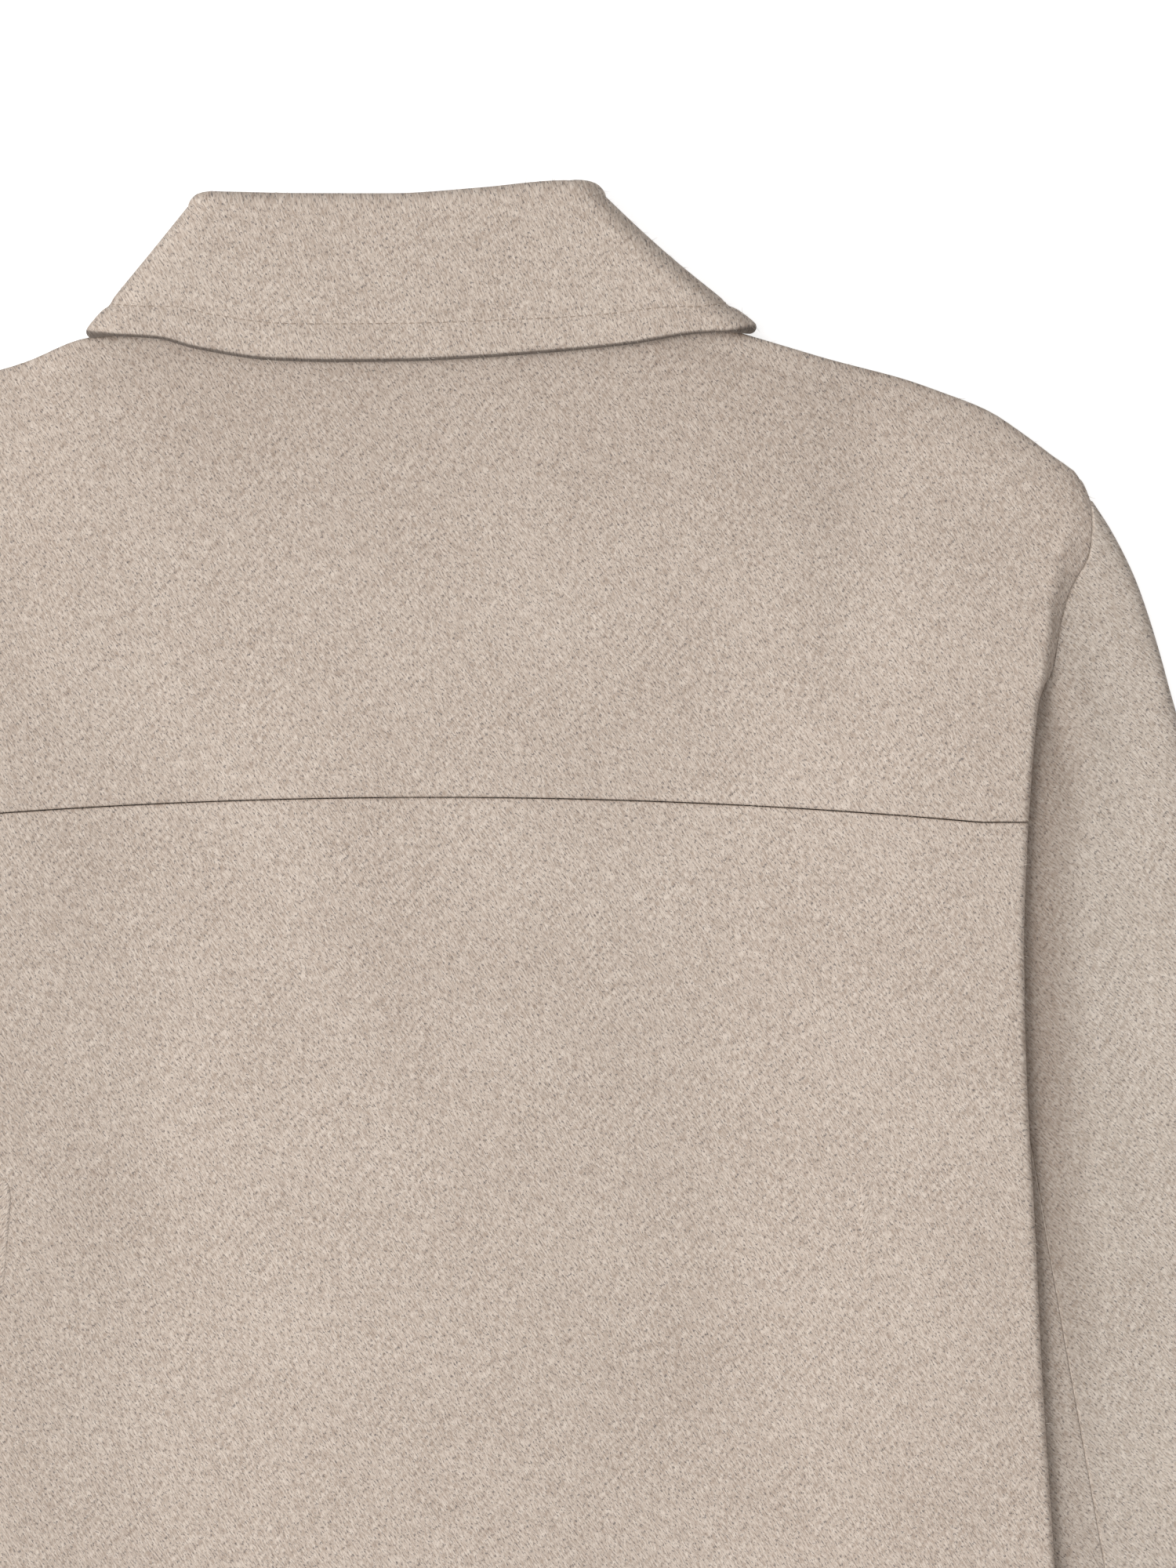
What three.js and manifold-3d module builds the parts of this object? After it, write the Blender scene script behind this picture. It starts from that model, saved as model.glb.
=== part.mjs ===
// Wool shirt jacket, laid flat on a surface with its back up.
// Millimetres, +Z up, +Y toward the collar, +X to the wearer's right.
// The origin is on the surface, under the middle of the jacket's outline.
import * as THREE from 'three';
import { mergeVertices } from 'three/addons/utils/BufferGeometryUtils.js';
import Module from 'manifold-3d';

// Cloth and seams
const cloth = 2.4;
const seamGap = 0.3;
const curvedSeamGap = 0.8;
const armholeGap = 1.2;
const layerStep = cloth + seamGap;
const collarCloth = 4.4;
const standCloth = 4;
const floorLevel = cloth / 2;

// Heights along the body, measured from the middle of the outline
const hemY = -365.9;
const yokeSeamY = 147.6;
const yokeSeamFall = 8.8;
const yokeSeamHalfWidth = 210;
const underarmY = 8;
const forwardSeam = 28;
const shoulderRoll = 19;
const halfShoulder = 226;
const armholeX = 231.5;

// Neck hole
const neckHalfWidth = 80;
const neckSideY = 322;
const backNeckY = 318;
const frontNeckY = 246;
const neckBend = { x: 70, y: 250 };
const neckSplitZ = 9.3;

// Heights of the middle of each layer above the surface
const backLevel = 8;
const backRidge = 1.9;
const backNeckLevel = 11.8;
const sideLevel = 15.6;
const shoulderLevel = 9;
const hemSideLevel = 10.2;
const frontNeckLift = 4.7;
const buttonLift = 2.9;
const sideSeamLevel = 6.6;
const sleeveTopLevel = 7.5;
const notchTopRise = 2.4;
const notchBottomRise = 5.7;

// Where one height passes smoothly into the next, across the body and along it
const collarLiftX = [160, 125];
const collarLiftY = [165, 210];
const ridgeX = [90, 25];
const sideX = [95, 198];
const shoulderY = [254, 196];
const hemSideY = [-290, -350];
const betweenLeavesX = [26, 12];
const betweenLeavesY = [285, 250];
const buttonStripX = [34, 14];
const buttonStripY = [-240, -214];
const lapX = [38, 24];
const seamDropStart = 33;
const seamDropEnd = 80;
const seamDropWidth = 18;

// Fronts
const overlap = 20;
const lapStep = layerStep + 0.3;
const buttonRadius = 10;
const buttonHeight = 2.6;
const buttonHoleRadius = 1.1;
const buttonHoleOffset = 2.6;
const buttonHeights = [228, 123, 18, -87, -192];

// Sleeves
const sleeveSeamAt = 0.295;
const cuffInner = { x: 238, y: -335 };
const cuffOuter = { x: 369.8, y: -306.5 };
const innerFold = 1.5;
const armholeTilt = 0.6;
const sleeveSettle = [0, 0.1];
const notchY = [-340, -290];
const topNotch = { rise: notchTopRise, endY: [250, 200], pastFold: [40, 2] };
const bottomNotch = { rise: notchBottomRise, endY: [200, 178], pastFold: [34, 8] };

// How the back folds at its side, by height. foldX is the outer edge of the fold, turn its angle in
// degrees, bend its radius, and under the cloth beyond it, up to the side seam or the armhole.
const backSide = [
  { y: -365, foldX: 231.0, turn: 180, bend: 1.35, under: 30 },
  { y: -285, foldX: 227.2, turn: 180, bend: 1.35, under: 36 },
  { y: -125, foldX: 219.4, turn: 180, bend: 1.35, under: 49 },
  { y: -60, foldX: 215.2, turn: 180, bend: 1.35, under: 57 },
  { y: 8, foldX: 211.8, turn: 180, bend: 1.35, under: 59.4 },
  { y: 25, foldX: 210.7, turn: 180, bend: 1.35, under: 41 },
  { y: 50, foldX: 209.5, turn: 180, bend: 1.35, under: 22 },
  { y: 75, foldX: 208.8, turn: 180, bend: 1.35, under: 11 },
  { y: 97, foldX: 208.6, turn: 180, bend: 1.35, under: 6 },
  { y: 140, foldX: 210.3, turn: 180, bend: 1.35, under: 3 },
  { y: 175, foldX: 213.0, turn: 180, bend: 1.35, under: 3 },
  { y: 194, foldX: 215.0, turn: 60, bend: 2.5, under: 4 },
  { y: 208, foldX: 216.0, turn: 50, bend: 3, under: 4.7 },
  { y: 217, foldX: 217.0, turn: 40, bend: 4, under: 5.4 },
  { y: 225, foldX: 218.7, turn: 27, bend: 5, under: 7 },
  { y: 233, foldX: 221.0, turn: 14, bend: 8, under: 9 },
  { y: 244, foldX: 223.8, turn: 8, bend: 14, under: 7.4 },
  { y: 254, foldX: 226.0, turn: 5, bend: 20, under: 4 },
  { y: 268, foldX: 226.0, turn: 5, bend: 20, under: 4 },
];

// How the fronts fold at their side, in the same columns.
const frontSide = [
  { y: -365, foldX: 231.0, turn: 180, bend: 1.35, under: 31 },
  { y: -285, foldX: 227.2, turn: 180, bend: 1.35, under: 37 },
  { y: -125, foldX: 219.4, turn: 180, bend: 1.35, under: 50 },
  { y: -60, foldX: 215.2, turn: 180, bend: 1.35, under: 58 },
  { y: 8, foldX: 211.8, turn: 180, bend: 1.35, under: 59.4 },
  { y: 25, foldX: 210.7, turn: 180, bend: 1.35, under: 41 },
  { y: 50, foldX: 209.5, turn: 180, bend: 1.35, under: 22 },
  { y: 75, foldX: 208.8, turn: 180, bend: 1.35, under: 11 },
  { y: 97, foldX: 208.6, turn: 180, bend: 1.35, under: 6 },
  { y: 140, foldX: 210.3, turn: 180, bend: 1.35, under: 1.5 },
  { y: 150, foldX: 211.0, turn: 120, bend: 1.5, under: 1 },
  { y: 160, foldX: 211.8, turn: 60, bend: 3, under: 2 },
  { y: 175, foldX: 213.0, turn: 20, bend: 6, under: 2 },
  { y: 194, foldX: 214.0, turn: 4, bend: 30, under: 2.1 },
  { y: 208, foldX: 215.0, turn: 4, bend: 30, under: 3.5 },
  { y: 217, foldX: 216.0, turn: 4, bend: 30, under: 5 },
  { y: 225, foldX: 218.0, turn: 4, bend: 30, under: 6.8 },
  { y: 233, foldX: 221.0, turn: 4, bend: 30, under: 8.5 },
  { y: 244, foldX: 223.8, turn: 4, bend: 30, under: 7.1 },
  { y: 254, foldX: 226.0, turn: 4, bend: 30, under: 3.6 },
  { y: 268, foldX: 226.0, turn: 4, bend: 30, under: 3.6 },
];

// The shoulders' outline, from the middle out to the armhole.
const shoulderLine = [
  { x: 0, y: 332 },
  { x: 40, y: 329 },
  { x: 80, y: 320.5 },
  { x: 114, y: 310.8 },
  { x: 137.5, y: 303.9 },
  { x: 165.3, y: 296.7 },
  { x: 179.2, y: 291.9 },
  { x: 195.8, y: 285.3 },
  { x: 206.9, y: 278.1 },
  { x: 218.1, y: 269.7 },
  { x: 229.2, y: 260.8 },
  { x: 231.5, y: 254 },
];

// The sleeve's outer edge from the shoulder to the cuff, half the cloth inside its outline.
const sleeveOuterEdge = [
  { x: 239.4, y: 241.4 },
  { x: 247.2, y: 225.8 },
  { x: 252.6, y: 210.8 },
  { x: 256.8, y: 196.8 },
  { x: 259.8, y: 185.6 },
  { x: 262.3, y: 176.7 },
  { x: 289.2, y: 55 },
  { x: 328.8, y: -120 },
  { x: cuffOuter.x, y: cuffOuter.y },
];

// The top of the collar's fold and the lower edge of its leaf, across the back.
const foldLine = [
  { x: -89, y: 360.5 },
  { x: -81, y: 362 },
  { x: -48, y: 361.6 },
  { x: -15, y: 361.6 },
  { x: 15, y: 363.4 },
  { x: 46, y: 365.8 },
  { x: 60, y: 364 },
];
const leafEdge = [
  { x: -122, y: 311.3 },
  { x: -98.6, y: 310 },
  { x: -84.7, y: 306.4 },
  { x: -57, y: 302.3 },
  { x: -35, y: 301.7 },
  { x: -9.7, y: 302 },
  { x: 12.5, y: 303 },
  { x: 40, y: 305 },
  { x: 68, y: 307.8 },
  { x: 96, y: 312 },
  { x: 114, y: 312.5 },
];

// The rings of the collar. Each runs over the back from its left side to its right side, rolls round
// there by roll, and bends back to the centre front. upper and lower are its two heights.
const collarRings = {
  standBase: {
    leftX: -77.4, leftY: 322, rightX: 77.4, rightY: 322, roll: 4, bendX: 68, bendY: 252,
    endX: 3, endY: 246.8, upper: 12, lower: 6.7,
  },
  foldInside: {
    leftX: -79, leftY: 356.4, rightX: 51, rightY: 359, roll: 5, bendX: 44, bendY: 288,
    endX: 3, endY: 274, upper: 12, lower: 7,
  },
  foldOutside: {
    leftX: -85.5, leftY: 356.4, rightX: 58.5, rightY: 359, roll: 9, bendX: 43, bendY: 286,
    endX: 3, endY: 274.5, upper: 18, lower: 2.2,
  },
  leafRim: {
    leftX: -123, leftY: 311.4, rightX: 113.5, rightY: 314, roll: 9, bendX: 98, bendY: 262,
    endX: 66, endY: 217, upper: 16.8, lower: 2.2,
  },
};
const foldSetback = 5.2;
const standShare = 0.86;
const leafBow = { left: 0.3, right: 2.2 };

// Where the grids of the pieces have their rows and columns
const sideRowsBack = [hemY, -350, -320, -290, -240, -180, -120, -60, -25, -8, 8, 25, 50, 75, 97, 138.8];
const sideRowsYoke = [139.1, 160, 175, 182, 188, 194, 201, 208, 217, 225, 233.8];
const sideRowsFront = [
  hemY, -290, -240, -212, -120, -60, -25, 8, 25, 50, 75, 97, 118, 140, 150, 160, 175, 194, 205.5,
];
const flatColumns = [0, 0.2, 0.36, 0.5, 0.62, 0.72, 0.8, 0.87, 0.93, 1];
const foldColumns = [1.2, 1.4, 1.6, 1.8, 2, 2.5, 2.7, 2.85, 3];
const sleeveRows = [0, 0.03, 0.07, 0.13, 0.21, 0.31, 0.43, 0.56, 0.7, 0.85, 1];
const armholeTopUnder = [25, 50, 66];
const armholeBottomUnder = [18, 30, 42, 55, 67];
const armholeTopUpper = [98, 118, 140, 160, 175, 182, 188, 194, 201, 208, 217, 225];
const armholeBottomUpper = [225, 208, 194, 175, 160, 150, 140, 118, 98];
const rollAngles = [90, 60, 30, 0, -30, -60, -90];

const colours = { wool: '#c6b6a8', collar: '#c4b5a8', sleeve: '#c0b4a7', button: '#8c7a68' };

const wasm = await Module();
wasm.setup();

function mix(from, to, share) {
  return from + (to - from) * share;
}

// 0 at the value from, 1 at the value to, smooth between them.
function ease(value, [from, to]) {
  return THREE.MathUtils.smoothstep((value - from) / (to - from), 0, 1);
}

// A column of a table at a place, as a smooth curve that keeps between its rows.
function readTable(rows, key, column, place) {
  const at = THREE.MathUtils.clamp(place, rows[0][key], rows.at(-1)[key]);
  const next = Math.max(1, rows.findIndex((row) => row[key] >= at));
  const step = (i) => rows[i + 1][key] - rows[i][key];
  const rise = (i) => (rows[i + 1][column] - rows[i][column]) / step(i);
  const slope = (i) => {
    if (i === 0) return rise(0);
    if (i === rows.length - 1) return rise(i - 1);
    const before = rise(i - 1);
    const after = rise(i);
    return before * after <= 0 ? 0 : (2 * before * after) / (before + after);
  };
  const i = next - 1;
  const t = (at - rows[i][key]) / step(i);
  const h01 = t * t * (3 - 2 * t);
  const h10 = t * (1 - t) * (1 - t);
  const h11 = t * t * (t - 1);
  return mix(rows[i][column], rows[next][column], h01) + step(i) * (h10 * slope(i) + h11 * slope(next));
}

// A closed wall from a grid of middle points, half its thickness to each side.
function wall(rows, columns, thickness, pointAt) {
  const grid = rows.map((row) => columns.map((column) => pointAt(column, row)));
  const last = { row: rows.length - 1, column: columns.length - 1 };
  const direction = (from, to) => to.clone().sub(from).normalize();
  const along = (before, here, after) => {
    const sum = new THREE.Vector3();
    if (before) sum.add(direction(before, here));
    if (after) sum.add(direction(here, after));
    return sum.normalize();
  };
  const positions = [];
  for (const side of [0.5, -0.5]) {
    grid.forEach((line, r) => line.forEach((point, c) => {
      const across = along(line[c - 1], point, line[c + 1]);
      const down = along(grid[r - 1]?.[c], point, grid[r + 1]?.[c]);
      const normal = across.cross(down).normalize();
      positions.push(...point.clone().addScaledVector(normal, side * thickness));
    }));
  }
  const half = rows.length * columns.length;
  const at = (r, c) => r * columns.length + c;
  const faces = [];
  for (let r = 0; r < last.row; r += 1) {
    for (let c = 0; c < last.column; c += 1) {
      const corners = [at(r, c), at(r, c + 1), at(r + 1, c + 1), at(r + 1, c)];
      faces.push(corners[0], corners[1], corners[2], corners[0], corners[2], corners[3]);
      const under = corners.map((corner) => corner + half);
      faces.push(under[0], under[2], under[1], under[0], under[3], under[2]);
    }
  }
  const rim = [];
  for (let c = 0; c < last.column; c += 1) rim.push([at(0, c), at(0, c + 1)]);
  for (let r = 0; r < last.row; r += 1) rim.push([at(r, last.column), at(r + 1, last.column)]);
  for (let c = last.column; c > 0; c -= 1) rim.push([at(last.row, c), at(last.row, c - 1)]);
  for (let r = last.row; r > 0; r -= 1) rim.push([at(r, 0), at(r - 1, 0)]);
  for (const [from, to] of rim) faces.push(to, from, from + half, to, from + half, to + half);
  const geometry = new THREE.BufferGeometry();
  geometry.setAttribute('position', new THREE.Float32BufferAttribute(positions, 3));
  geometry.setIndex(faces);
  return facingOut(geometry);
}

// Turns the faces of a closed geometry round where they face in.
function facingOut(geometry) {
  const place = geometry.getAttribute('position');
  const index = geometry.getIndex();
  let volume = 0;
  for (let i = 0; i < index.count; i += 3) {
    const [a, b, c] = [0, 1, 2].map((k) => new THREE.Vector3().fromBufferAttribute(place, index.getX(i + k)));
    volume += a.dot(b.cross(c));
  }
  if (volume < 0) geometry.setIndex([...index.array].reverse());
  return geometry;
}

function toSolid(geometry) {
  const plain = geometry.clone();
  plain.deleteAttribute('normal');
  plain.deleteAttribute('uv');
  const merged = mergeVertices(plain);
  const vertProperties = new Float32Array(merged.getAttribute('position').array);
  const triVerts = new Uint32Array(merged.getIndex().array);
  return new wasm.Manifold(new wasm.Mesh({ numProp: 3, vertProperties, triVerts }));
}

// The largest whole body of a solid, as a geometry.
function toGeometry(solid) {
  const [largest] = solid.decompose().sort((one, other) => other.volume() - one.volume());
  const mesh = largest.getMesh();
  const geometry = new THREE.BufferGeometry();
  geometry.setAttribute('position', new THREE.BufferAttribute(mesh.vertProperties, 3));
  geometry.setIndex(new THREE.BufferAttribute(mesh.triVerts, 1));
  return geometry;
}

function addPiece(name, geometry, colour, roughness = 0.95) {
  const material = new THREE.MeshStandardMaterial({ color: colour, roughness, metalness: 0 });
  const mesh = new THREE.Mesh(geometry, material);
  mesh.name = name;
  geometry.computeVertexNormals();
  jacket.add(mesh);
}

// Body

// How far up the collar's front half lifts the cloth above it, from 0 to 1.
function collarLift(x, y) {
  return ease(Math.abs(x), collarLiftX) * ease(y, collarLiftY);
}

// Middle height of the back, up to its side fold.
function backHeight(x, y) {
  const middle = backLevel + backRidge * ease(Math.abs(x), ridgeX);
  const centre = mix(middle, backNeckLevel, collarLift(x, y));
  const belowShoulder = mix(shoulderLevel, sideLevel, ease(y, shoulderY));
  const side = mix(belowShoulder, hemSideLevel, ease(y, hemSideY));
  return mix(centre, side, ease(Math.abs(x), sideX));
}

// Middle height of the fronts, up to their side fold.
function frontHeight(x, y) {
  const betweenLeaves = ease(Math.abs(x), betweenLeavesX) * ease(y, betweenLeavesY);
  const lift = collarLift(x, y) * (1 - betweenLeaves);
  const strip = ease(Math.abs(x), buttonStripX) * ease(y, buttonStripY);
  return floorLevel + frontNeckLift * lift + buttonLift * strip * (1 - lift);
}

// The inner edge of the sleeve below the underarm.
function sleeveInnerX(y) {
  const start = armholeEdge(backSide, underarmY).x;
  return mix(start, cuffInner.x, (underarmY - y) / (underarmY - cuffInner.y));
}

// A place along the cloth from the centre (0) to the fold (1), round it (2) and on to its edge (3).
function sidePath(table, along, y) {
  const read = (column) => readTable(table, 'y', column, y);
  const [foldX, bend, under] = [read('foldX'), read('bend'), read('under')];
  const turn = THREE.MathUtils.degToRad(read('turn'));
  const start = foldX - (bend + cloth / 2) * Math.sin(turn / 2) ** 2;
  const bent = turn * THREE.MathUtils.clamp(along - 1, 0, 1);
  const beyond = under * Math.max(along - 2, 0);
  return {
    start,
    turn,
    x: start * Math.min(along, 1) + bend * Math.sin(bent) + beyond * Math.cos(turn),
    drop: bend * (1 - Math.cos(bent)) + beyond * Math.sin(turn),
    fromEdge: under - beyond,
  };
}

// How far the back's turned-under cloth comes down to meet the front at the side seam.
function seamDrop(path, along, y) {
  if (along <= 2 || y >= underarmY - seamDropStart) return 0;
  const edge = sidePath(backSide, 3, y).x;
  const width = Math.min(seamDropWidth, 0.6 * (sleeveInnerX(y) - edge - cloth));
  const full = backHeight(path.start, y) - layerStep - sideSeamLevel;
  const reached = ease(y, [underarmY - seamDropStart, underarmY - seamDropEnd]);
  return full * reached * ease(path.fromEdge, [width, 0]);
}

function yokeSeamAt(x) {
  return yokeSeamY - yokeSeamFall * Math.min(Math.abs(x) / yokeSeamHalfWidth, 1) ** 2;
}

function shoulderAt(x) {
  return readTable(shoulderLine, 'x', 'y', Math.abs(x)) - cloth / 2;
}

// The plain distance from the centre that a place along the cloth has near the shoulder.
function nominalX(along) {
  return Math.abs(along) <= 1
    ? halfShoulder * Math.abs(along)
    : mix(halfShoulder, armholeX, (Math.abs(along) - 1) / 2);
}

function backPanelPoint(along, rowY) {
  const place = Math.abs(along);
  const share = (rowY - hemY) / (sideRowsBack.at(-1) - hemY);
  const y = mix(hemY, yokeSeamAt(nominalX(place)), share);
  const path = sidePath(backSide, place, y);
  const level = backHeight(place > 1 ? path.start : path.x, y);
  return new THREE.Vector3(Math.sign(along) * path.x, y, level - path.drop - seamDrop(path, place, y));
}

// The yoke: flat rows up to the shoulder, a roll over it by angle, and the strip in front of it.
function yokePoint(along, row) {
  const place = Math.abs(along);
  const top = shoulderAt(nominalX(place));
  const angle = THREE.MathUtils.degToRad(row.angle);
  const lower = yokeSeamAt(nominalX(place)) + seamGap;
  let y = top - shoulderRoll * (1 - Math.cos(angle)) - forwardSeam * row.beyond;
  if (row.angle === 90) y = mix(lower, top - shoulderRoll, row.share);
  const upper = (1 + Math.sin(angle)) / 2;
  const back = sidePath(backSide, place, y);
  const front = sidePath(frontSide, place, y);
  const backZ = backHeight(Math.min(back.x, back.start), y) - back.drop;
  const frontZ = frontHeight(Math.min(front.x, front.start), y) + front.drop;
  return new THREE.Vector3(Math.sign(along) * mix(front.x, back.x, upper), y, mix(frontZ, backZ, upper));
}

// A front. along runs from the overlap, below 0, to the side; upperOne is the front nearer the back.
function frontPoint(side, upperOne, along, rowY) {
  const topY = shoulderAt(nominalX(Math.max(along, 0))) - shoulderRoll - forwardSeam - seamGap;
  const share = (rowY - hemY) / (sideRowsFront.at(-1) - hemY);
  const y = mix(hemY, topY, share);
  const path = sidePath(frontSide, Math.max(along, 0), y);
  const x = along < 0 ? overlap * along : path.x;
  const lapped = upperOne ? lapStep * ease(x, lapX) : 0;
  const z = frontHeight(Math.min(x, path.start), y) + path.drop + lapped;
  return new THREE.Vector3(side * x, y, z);
}

// A plan outline as an upright prism between two heights.
function neckPrism(points, fromZ, toZ) {
  const shape = new THREE.Shape(points.map(([x, y]) => new THREE.Vector2(x, y)));
  const prism = new THREE.ExtrudeGeometry(shape, { depth: toZ - fromZ, bevelEnabled: false });
  return toSolid(prism.translate(0, 0, fromZ));
}

// The neck hole: deep through the fronts, shallow through the back above them.
function neckHole() {
  const beyond = 420;
  const steps = [0, 0.125, 0.25, 0.375, 0.5, 0.625, 0.75, 0.875, 1];
  const backCurve = steps.map((share) => {
    const x = mix(-neckHalfWidth, neckHalfWidth, share);
    return [x, mix(backNeckY, neckSideY, (x / neckHalfWidth) ** 2)];
  });
  const curve = new THREE.QuadraticBezierCurve(
    new THREE.Vector2(-neckHalfWidth, neckSideY),
    new THREE.Vector2(-neckBend.x, neckBend.y),
    new THREE.Vector2(0, frontNeckY),
  );
  const leftCurve = steps.map((share) => curve.getPoint(share).toArray());
  const rightCurve = leftCurve.slice(0, -1).reverse().map(([x, y]) => [-x, y]);
  const corners = [[neckHalfWidth, beyond], [-neckHalfWidth, beyond]];
  const front = [...leftCurve, ...rightCurve, ...corners];
  const back = neckPrism([...backCurve, ...corners], -20, 60);
  return { yoke: back.add(neckPrism(front, -20, neckSplitZ)), front: neckPrism(front, -20, 60) };
}

// Sleeves

// The seam edge of the armhole at a height, half the cloth inside the sleeve's start.
function armholeEdge(table, y) {
  const path = sidePath(table, 3, y);
  const level = table === backSide ? backHeight(path.start, y) : frontHeight(path.start, y);
  const sign = table === backSide ? -1 : 1;
  const away = (cloth + curvedSeamGap) / 2 * (1 - Math.cos(path.turn));
  return {
    x: path.x + armholeGap + armholeTilt * Math.sin(path.turn),
    y,
    z: level + sign * (path.drop + away),
  };
}

const armholeTopY = shoulderAt(armholeX);
const outerStart = armholeEdge(backSide, armholeTopY);
const outerCurve = new THREE.CatmullRomCurve3(
  [outerStart, ...sleeveOuterEdge].map(({ x, y }) => new THREE.Vector3(x, y, 0)),
  false,
  'centripetal',
);

// The plan of one layer of the sleeve. across is 0 at the inner edge and 1 at the outer one.
function sleevePlan(table, across, down) {
  const start = armholeEdge(table, mix(underarmY, armholeTopY, across));
  const inner = armholeEdge(table, underarmY);
  const outerTop = armholeEdge(table, armholeTopY);
  const outer = outerCurve.getPointAt(down);
  const plan = (axis) => {
    const sides = mix(mix(inner[axis], cuffInner[axis], down), outer[axis], across);
    const ends = mix(start[axis], mix(cuffInner[axis], cuffOuter[axis], across), down);
    const corners = mix(
      mix(inner[axis], outerTop[axis], across),
      mix(cuffInner[axis], cuffOuter[axis], across),
      down,
    );
    return sides + ends - corners;
  };
  return { x: plan('x'), y: plan('y'), start };
}

// The share of the sleeve's width that one millimetre takes at its outer and inner edge.
function widthShare(down, edge) {
  const [one, other] = edge === 'outer' ? [0.9, 1] : [0, 0.1];
  const a = sleevePlan(backSide, one, down);
  const b = sleevePlan(backSide, other, down);
  return 0.1 / Math.hypot(b.x - a.x, b.y - a.y);
}

function sleevePoint(side, column, down) {
  const angle = THREE.MathUtils.degToRad(column.angle);
  const upper = (1 + Math.sin(angle)) / 2;
  const rollShare = (column.roll ?? 0) * widthShare(down, column.edge) * (1 - Math.cos(angle));
  const armShare = (column.y - underarmY) / (armholeTopY - underarmY);
  const rollEnd = 1 - shoulderRoll * widthShare(down, 'outer');
  const rollEndArm = 1 - shoulderRoll * widthShare(0, 'outer');
  let across = armShare <= rollEndArm ? (armShare / rollEndArm) * rollEnd : 1;
  if (column.edge === 'outer') across = 1 - rollShare;
  if (column.edge === 'inner') across = rollShare;
  const top = sleevePlan(backSide, across, down);
  const bottom = sleevePlan(frontSide, across, down);
  const topZ = sleeveHeight(top, sleeveTopLevel, topNotch, down);
  const bottomZ = sleeveHeight(bottom, floorLevel, bottomNotch, down);
  return new THREE.Vector3(
    side * mix(bottom.x, top.x, upper),
    mix(bottom.y, top.y, upper),
    mix(bottomZ, topZ, upper),
  );
}

// Middle height of a layer of the sleeve, which rises where it lies over the fold of the body.
function sleeveHeight(plan, level, notch, down) {
  const pastFold = plan.x - readTable(backSide, 'y', 'foldX', plan.y);
  const reached = ease(plan.y, notchY) * ease(plan.y, notch.endY) * ease(pastFold, notch.pastFold);
  return mix(plan.start.z, level + notch.rise * reached, ease(down, sleeveSettle));
}

// Collar

function bezierAt(from, bend, to, share) {
  return mix(mix(from, bend, share), mix(bend, to, share), share);
}

// A point on a ring of the collar. round runs from -3 at the left front end, over the back from -1
// to 1, to 3 at the right front end; backY gives the ring's height across the back.
function ringPoint(ring, backY, round) {
  const side = Math.sign(round) || 1;
  const [sideX, sideY] = side < 0 ? [ring.leftX, ring.leftY] : [ring.rightX, ring.rightY];
  const turnIn = sideX - side * ring.roll;
  const place = Math.abs(round);
  if (place <= 1) {
    const x = mix(ring.leftX + ring.roll, ring.rightX - ring.roll, (round + 1) / 2);
    return new THREE.Vector3(x, backY(x), ring.upper);
  }
  if (place <= 2) {
    const angle = Math.PI * (0.5 - (place - 1));
    const upper = (1 + Math.sin(angle)) / 2;
    const x = sideX - side * ring.roll * (1 - Math.cos(angle));
    return new THREE.Vector3(x, mix(sideY, backY(turnIn), upper), mix(ring.lower, ring.upper, upper));
  }
  const share = place - 2;
  return new THREE.Vector3(
    bezierAt(turnIn, side * ring.bendX, side * ring.endX, share),
    bezierAt(sideY, ring.bendY, ring.endY, share),
    ring.lower,
  );
}

const ringAt = {
  standBase: (round) => ringPoint(
    collarRings.standBase,
    (x) => mix(backNeckY, neckSideY, (x / neckHalfWidth) ** 2) + seamGap,
    round,
  ),
  foldInside: (round) => ringPoint(
    collarRings.foldInside,
    (x) => readTable(foldLine, 'x', 'y', x) - foldSetback,
    round,
  ),
  foldOutside: (round) => ringPoint(
    collarRings.foldOutside,
    (x) => readTable(foldLine, 'x', 'y', x) - foldSetback,
    round,
  ),
  leafRim: (round) => ringPoint(collarRings.leafRim, (x) => readTable(leafEdge, 'x', 'y', x), round),
};

function standPoint(round, share) {
  return ringAt.standBase(round).lerp(ringAt.foldInside(round), share * standShare);
}

// The leaf: up from the stand (0 to 1), over the fold (1 to 2) and down to its edge (2 to 3).
function leafPoint(round, row) {
  const inside = ringAt.foldInside(round);
  const outside = ringAt.foldOutside(round);
  if (row <= 1) {
    const base = ringAt.standBase(round);
    const gapShare = curvedSeamGap / base.distanceTo(inside);
    return base.lerp(inside, mix(standShare + gapShare, 1, row));
  }
  if (row <= 2) {
    const angle = Math.PI * (row - 1);
    const radius = inside.distanceTo(outside) / 2;
    const middle = inside.clone().lerp(outside, (1 - Math.cos(angle)) / 2);
    return middle.add(new THREE.Vector3(0, radius * Math.sin(angle), 0));
  }
  const share = row - 2;
  const place = Math.abs(round);
  const sideways = place <= 1 ? place ** 4 : Math.min(1, 3 - place);
  const point = outside.lerp(ringAt.leafRim(round), share);
  const bow = round < 0 ? -leafBow.left : leafBow.right;
  point.x -= bow * Math.sin(Math.PI * share) * sideways;
  return point;
}

function evenly(from, to, steps) {
  return Array.from({ length: steps + 1 }, (_, i) => mix(from, to, i / steps));
}

function circle(x, y, radius, sides) {
  return Array.from({ length: sides }, (_, i) => {
    const turn = (2 * Math.PI * i) / sides;
    return new THREE.Vector2(x + radius * Math.cos(turn), y + radius * Math.sin(turn));
  });
}

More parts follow.
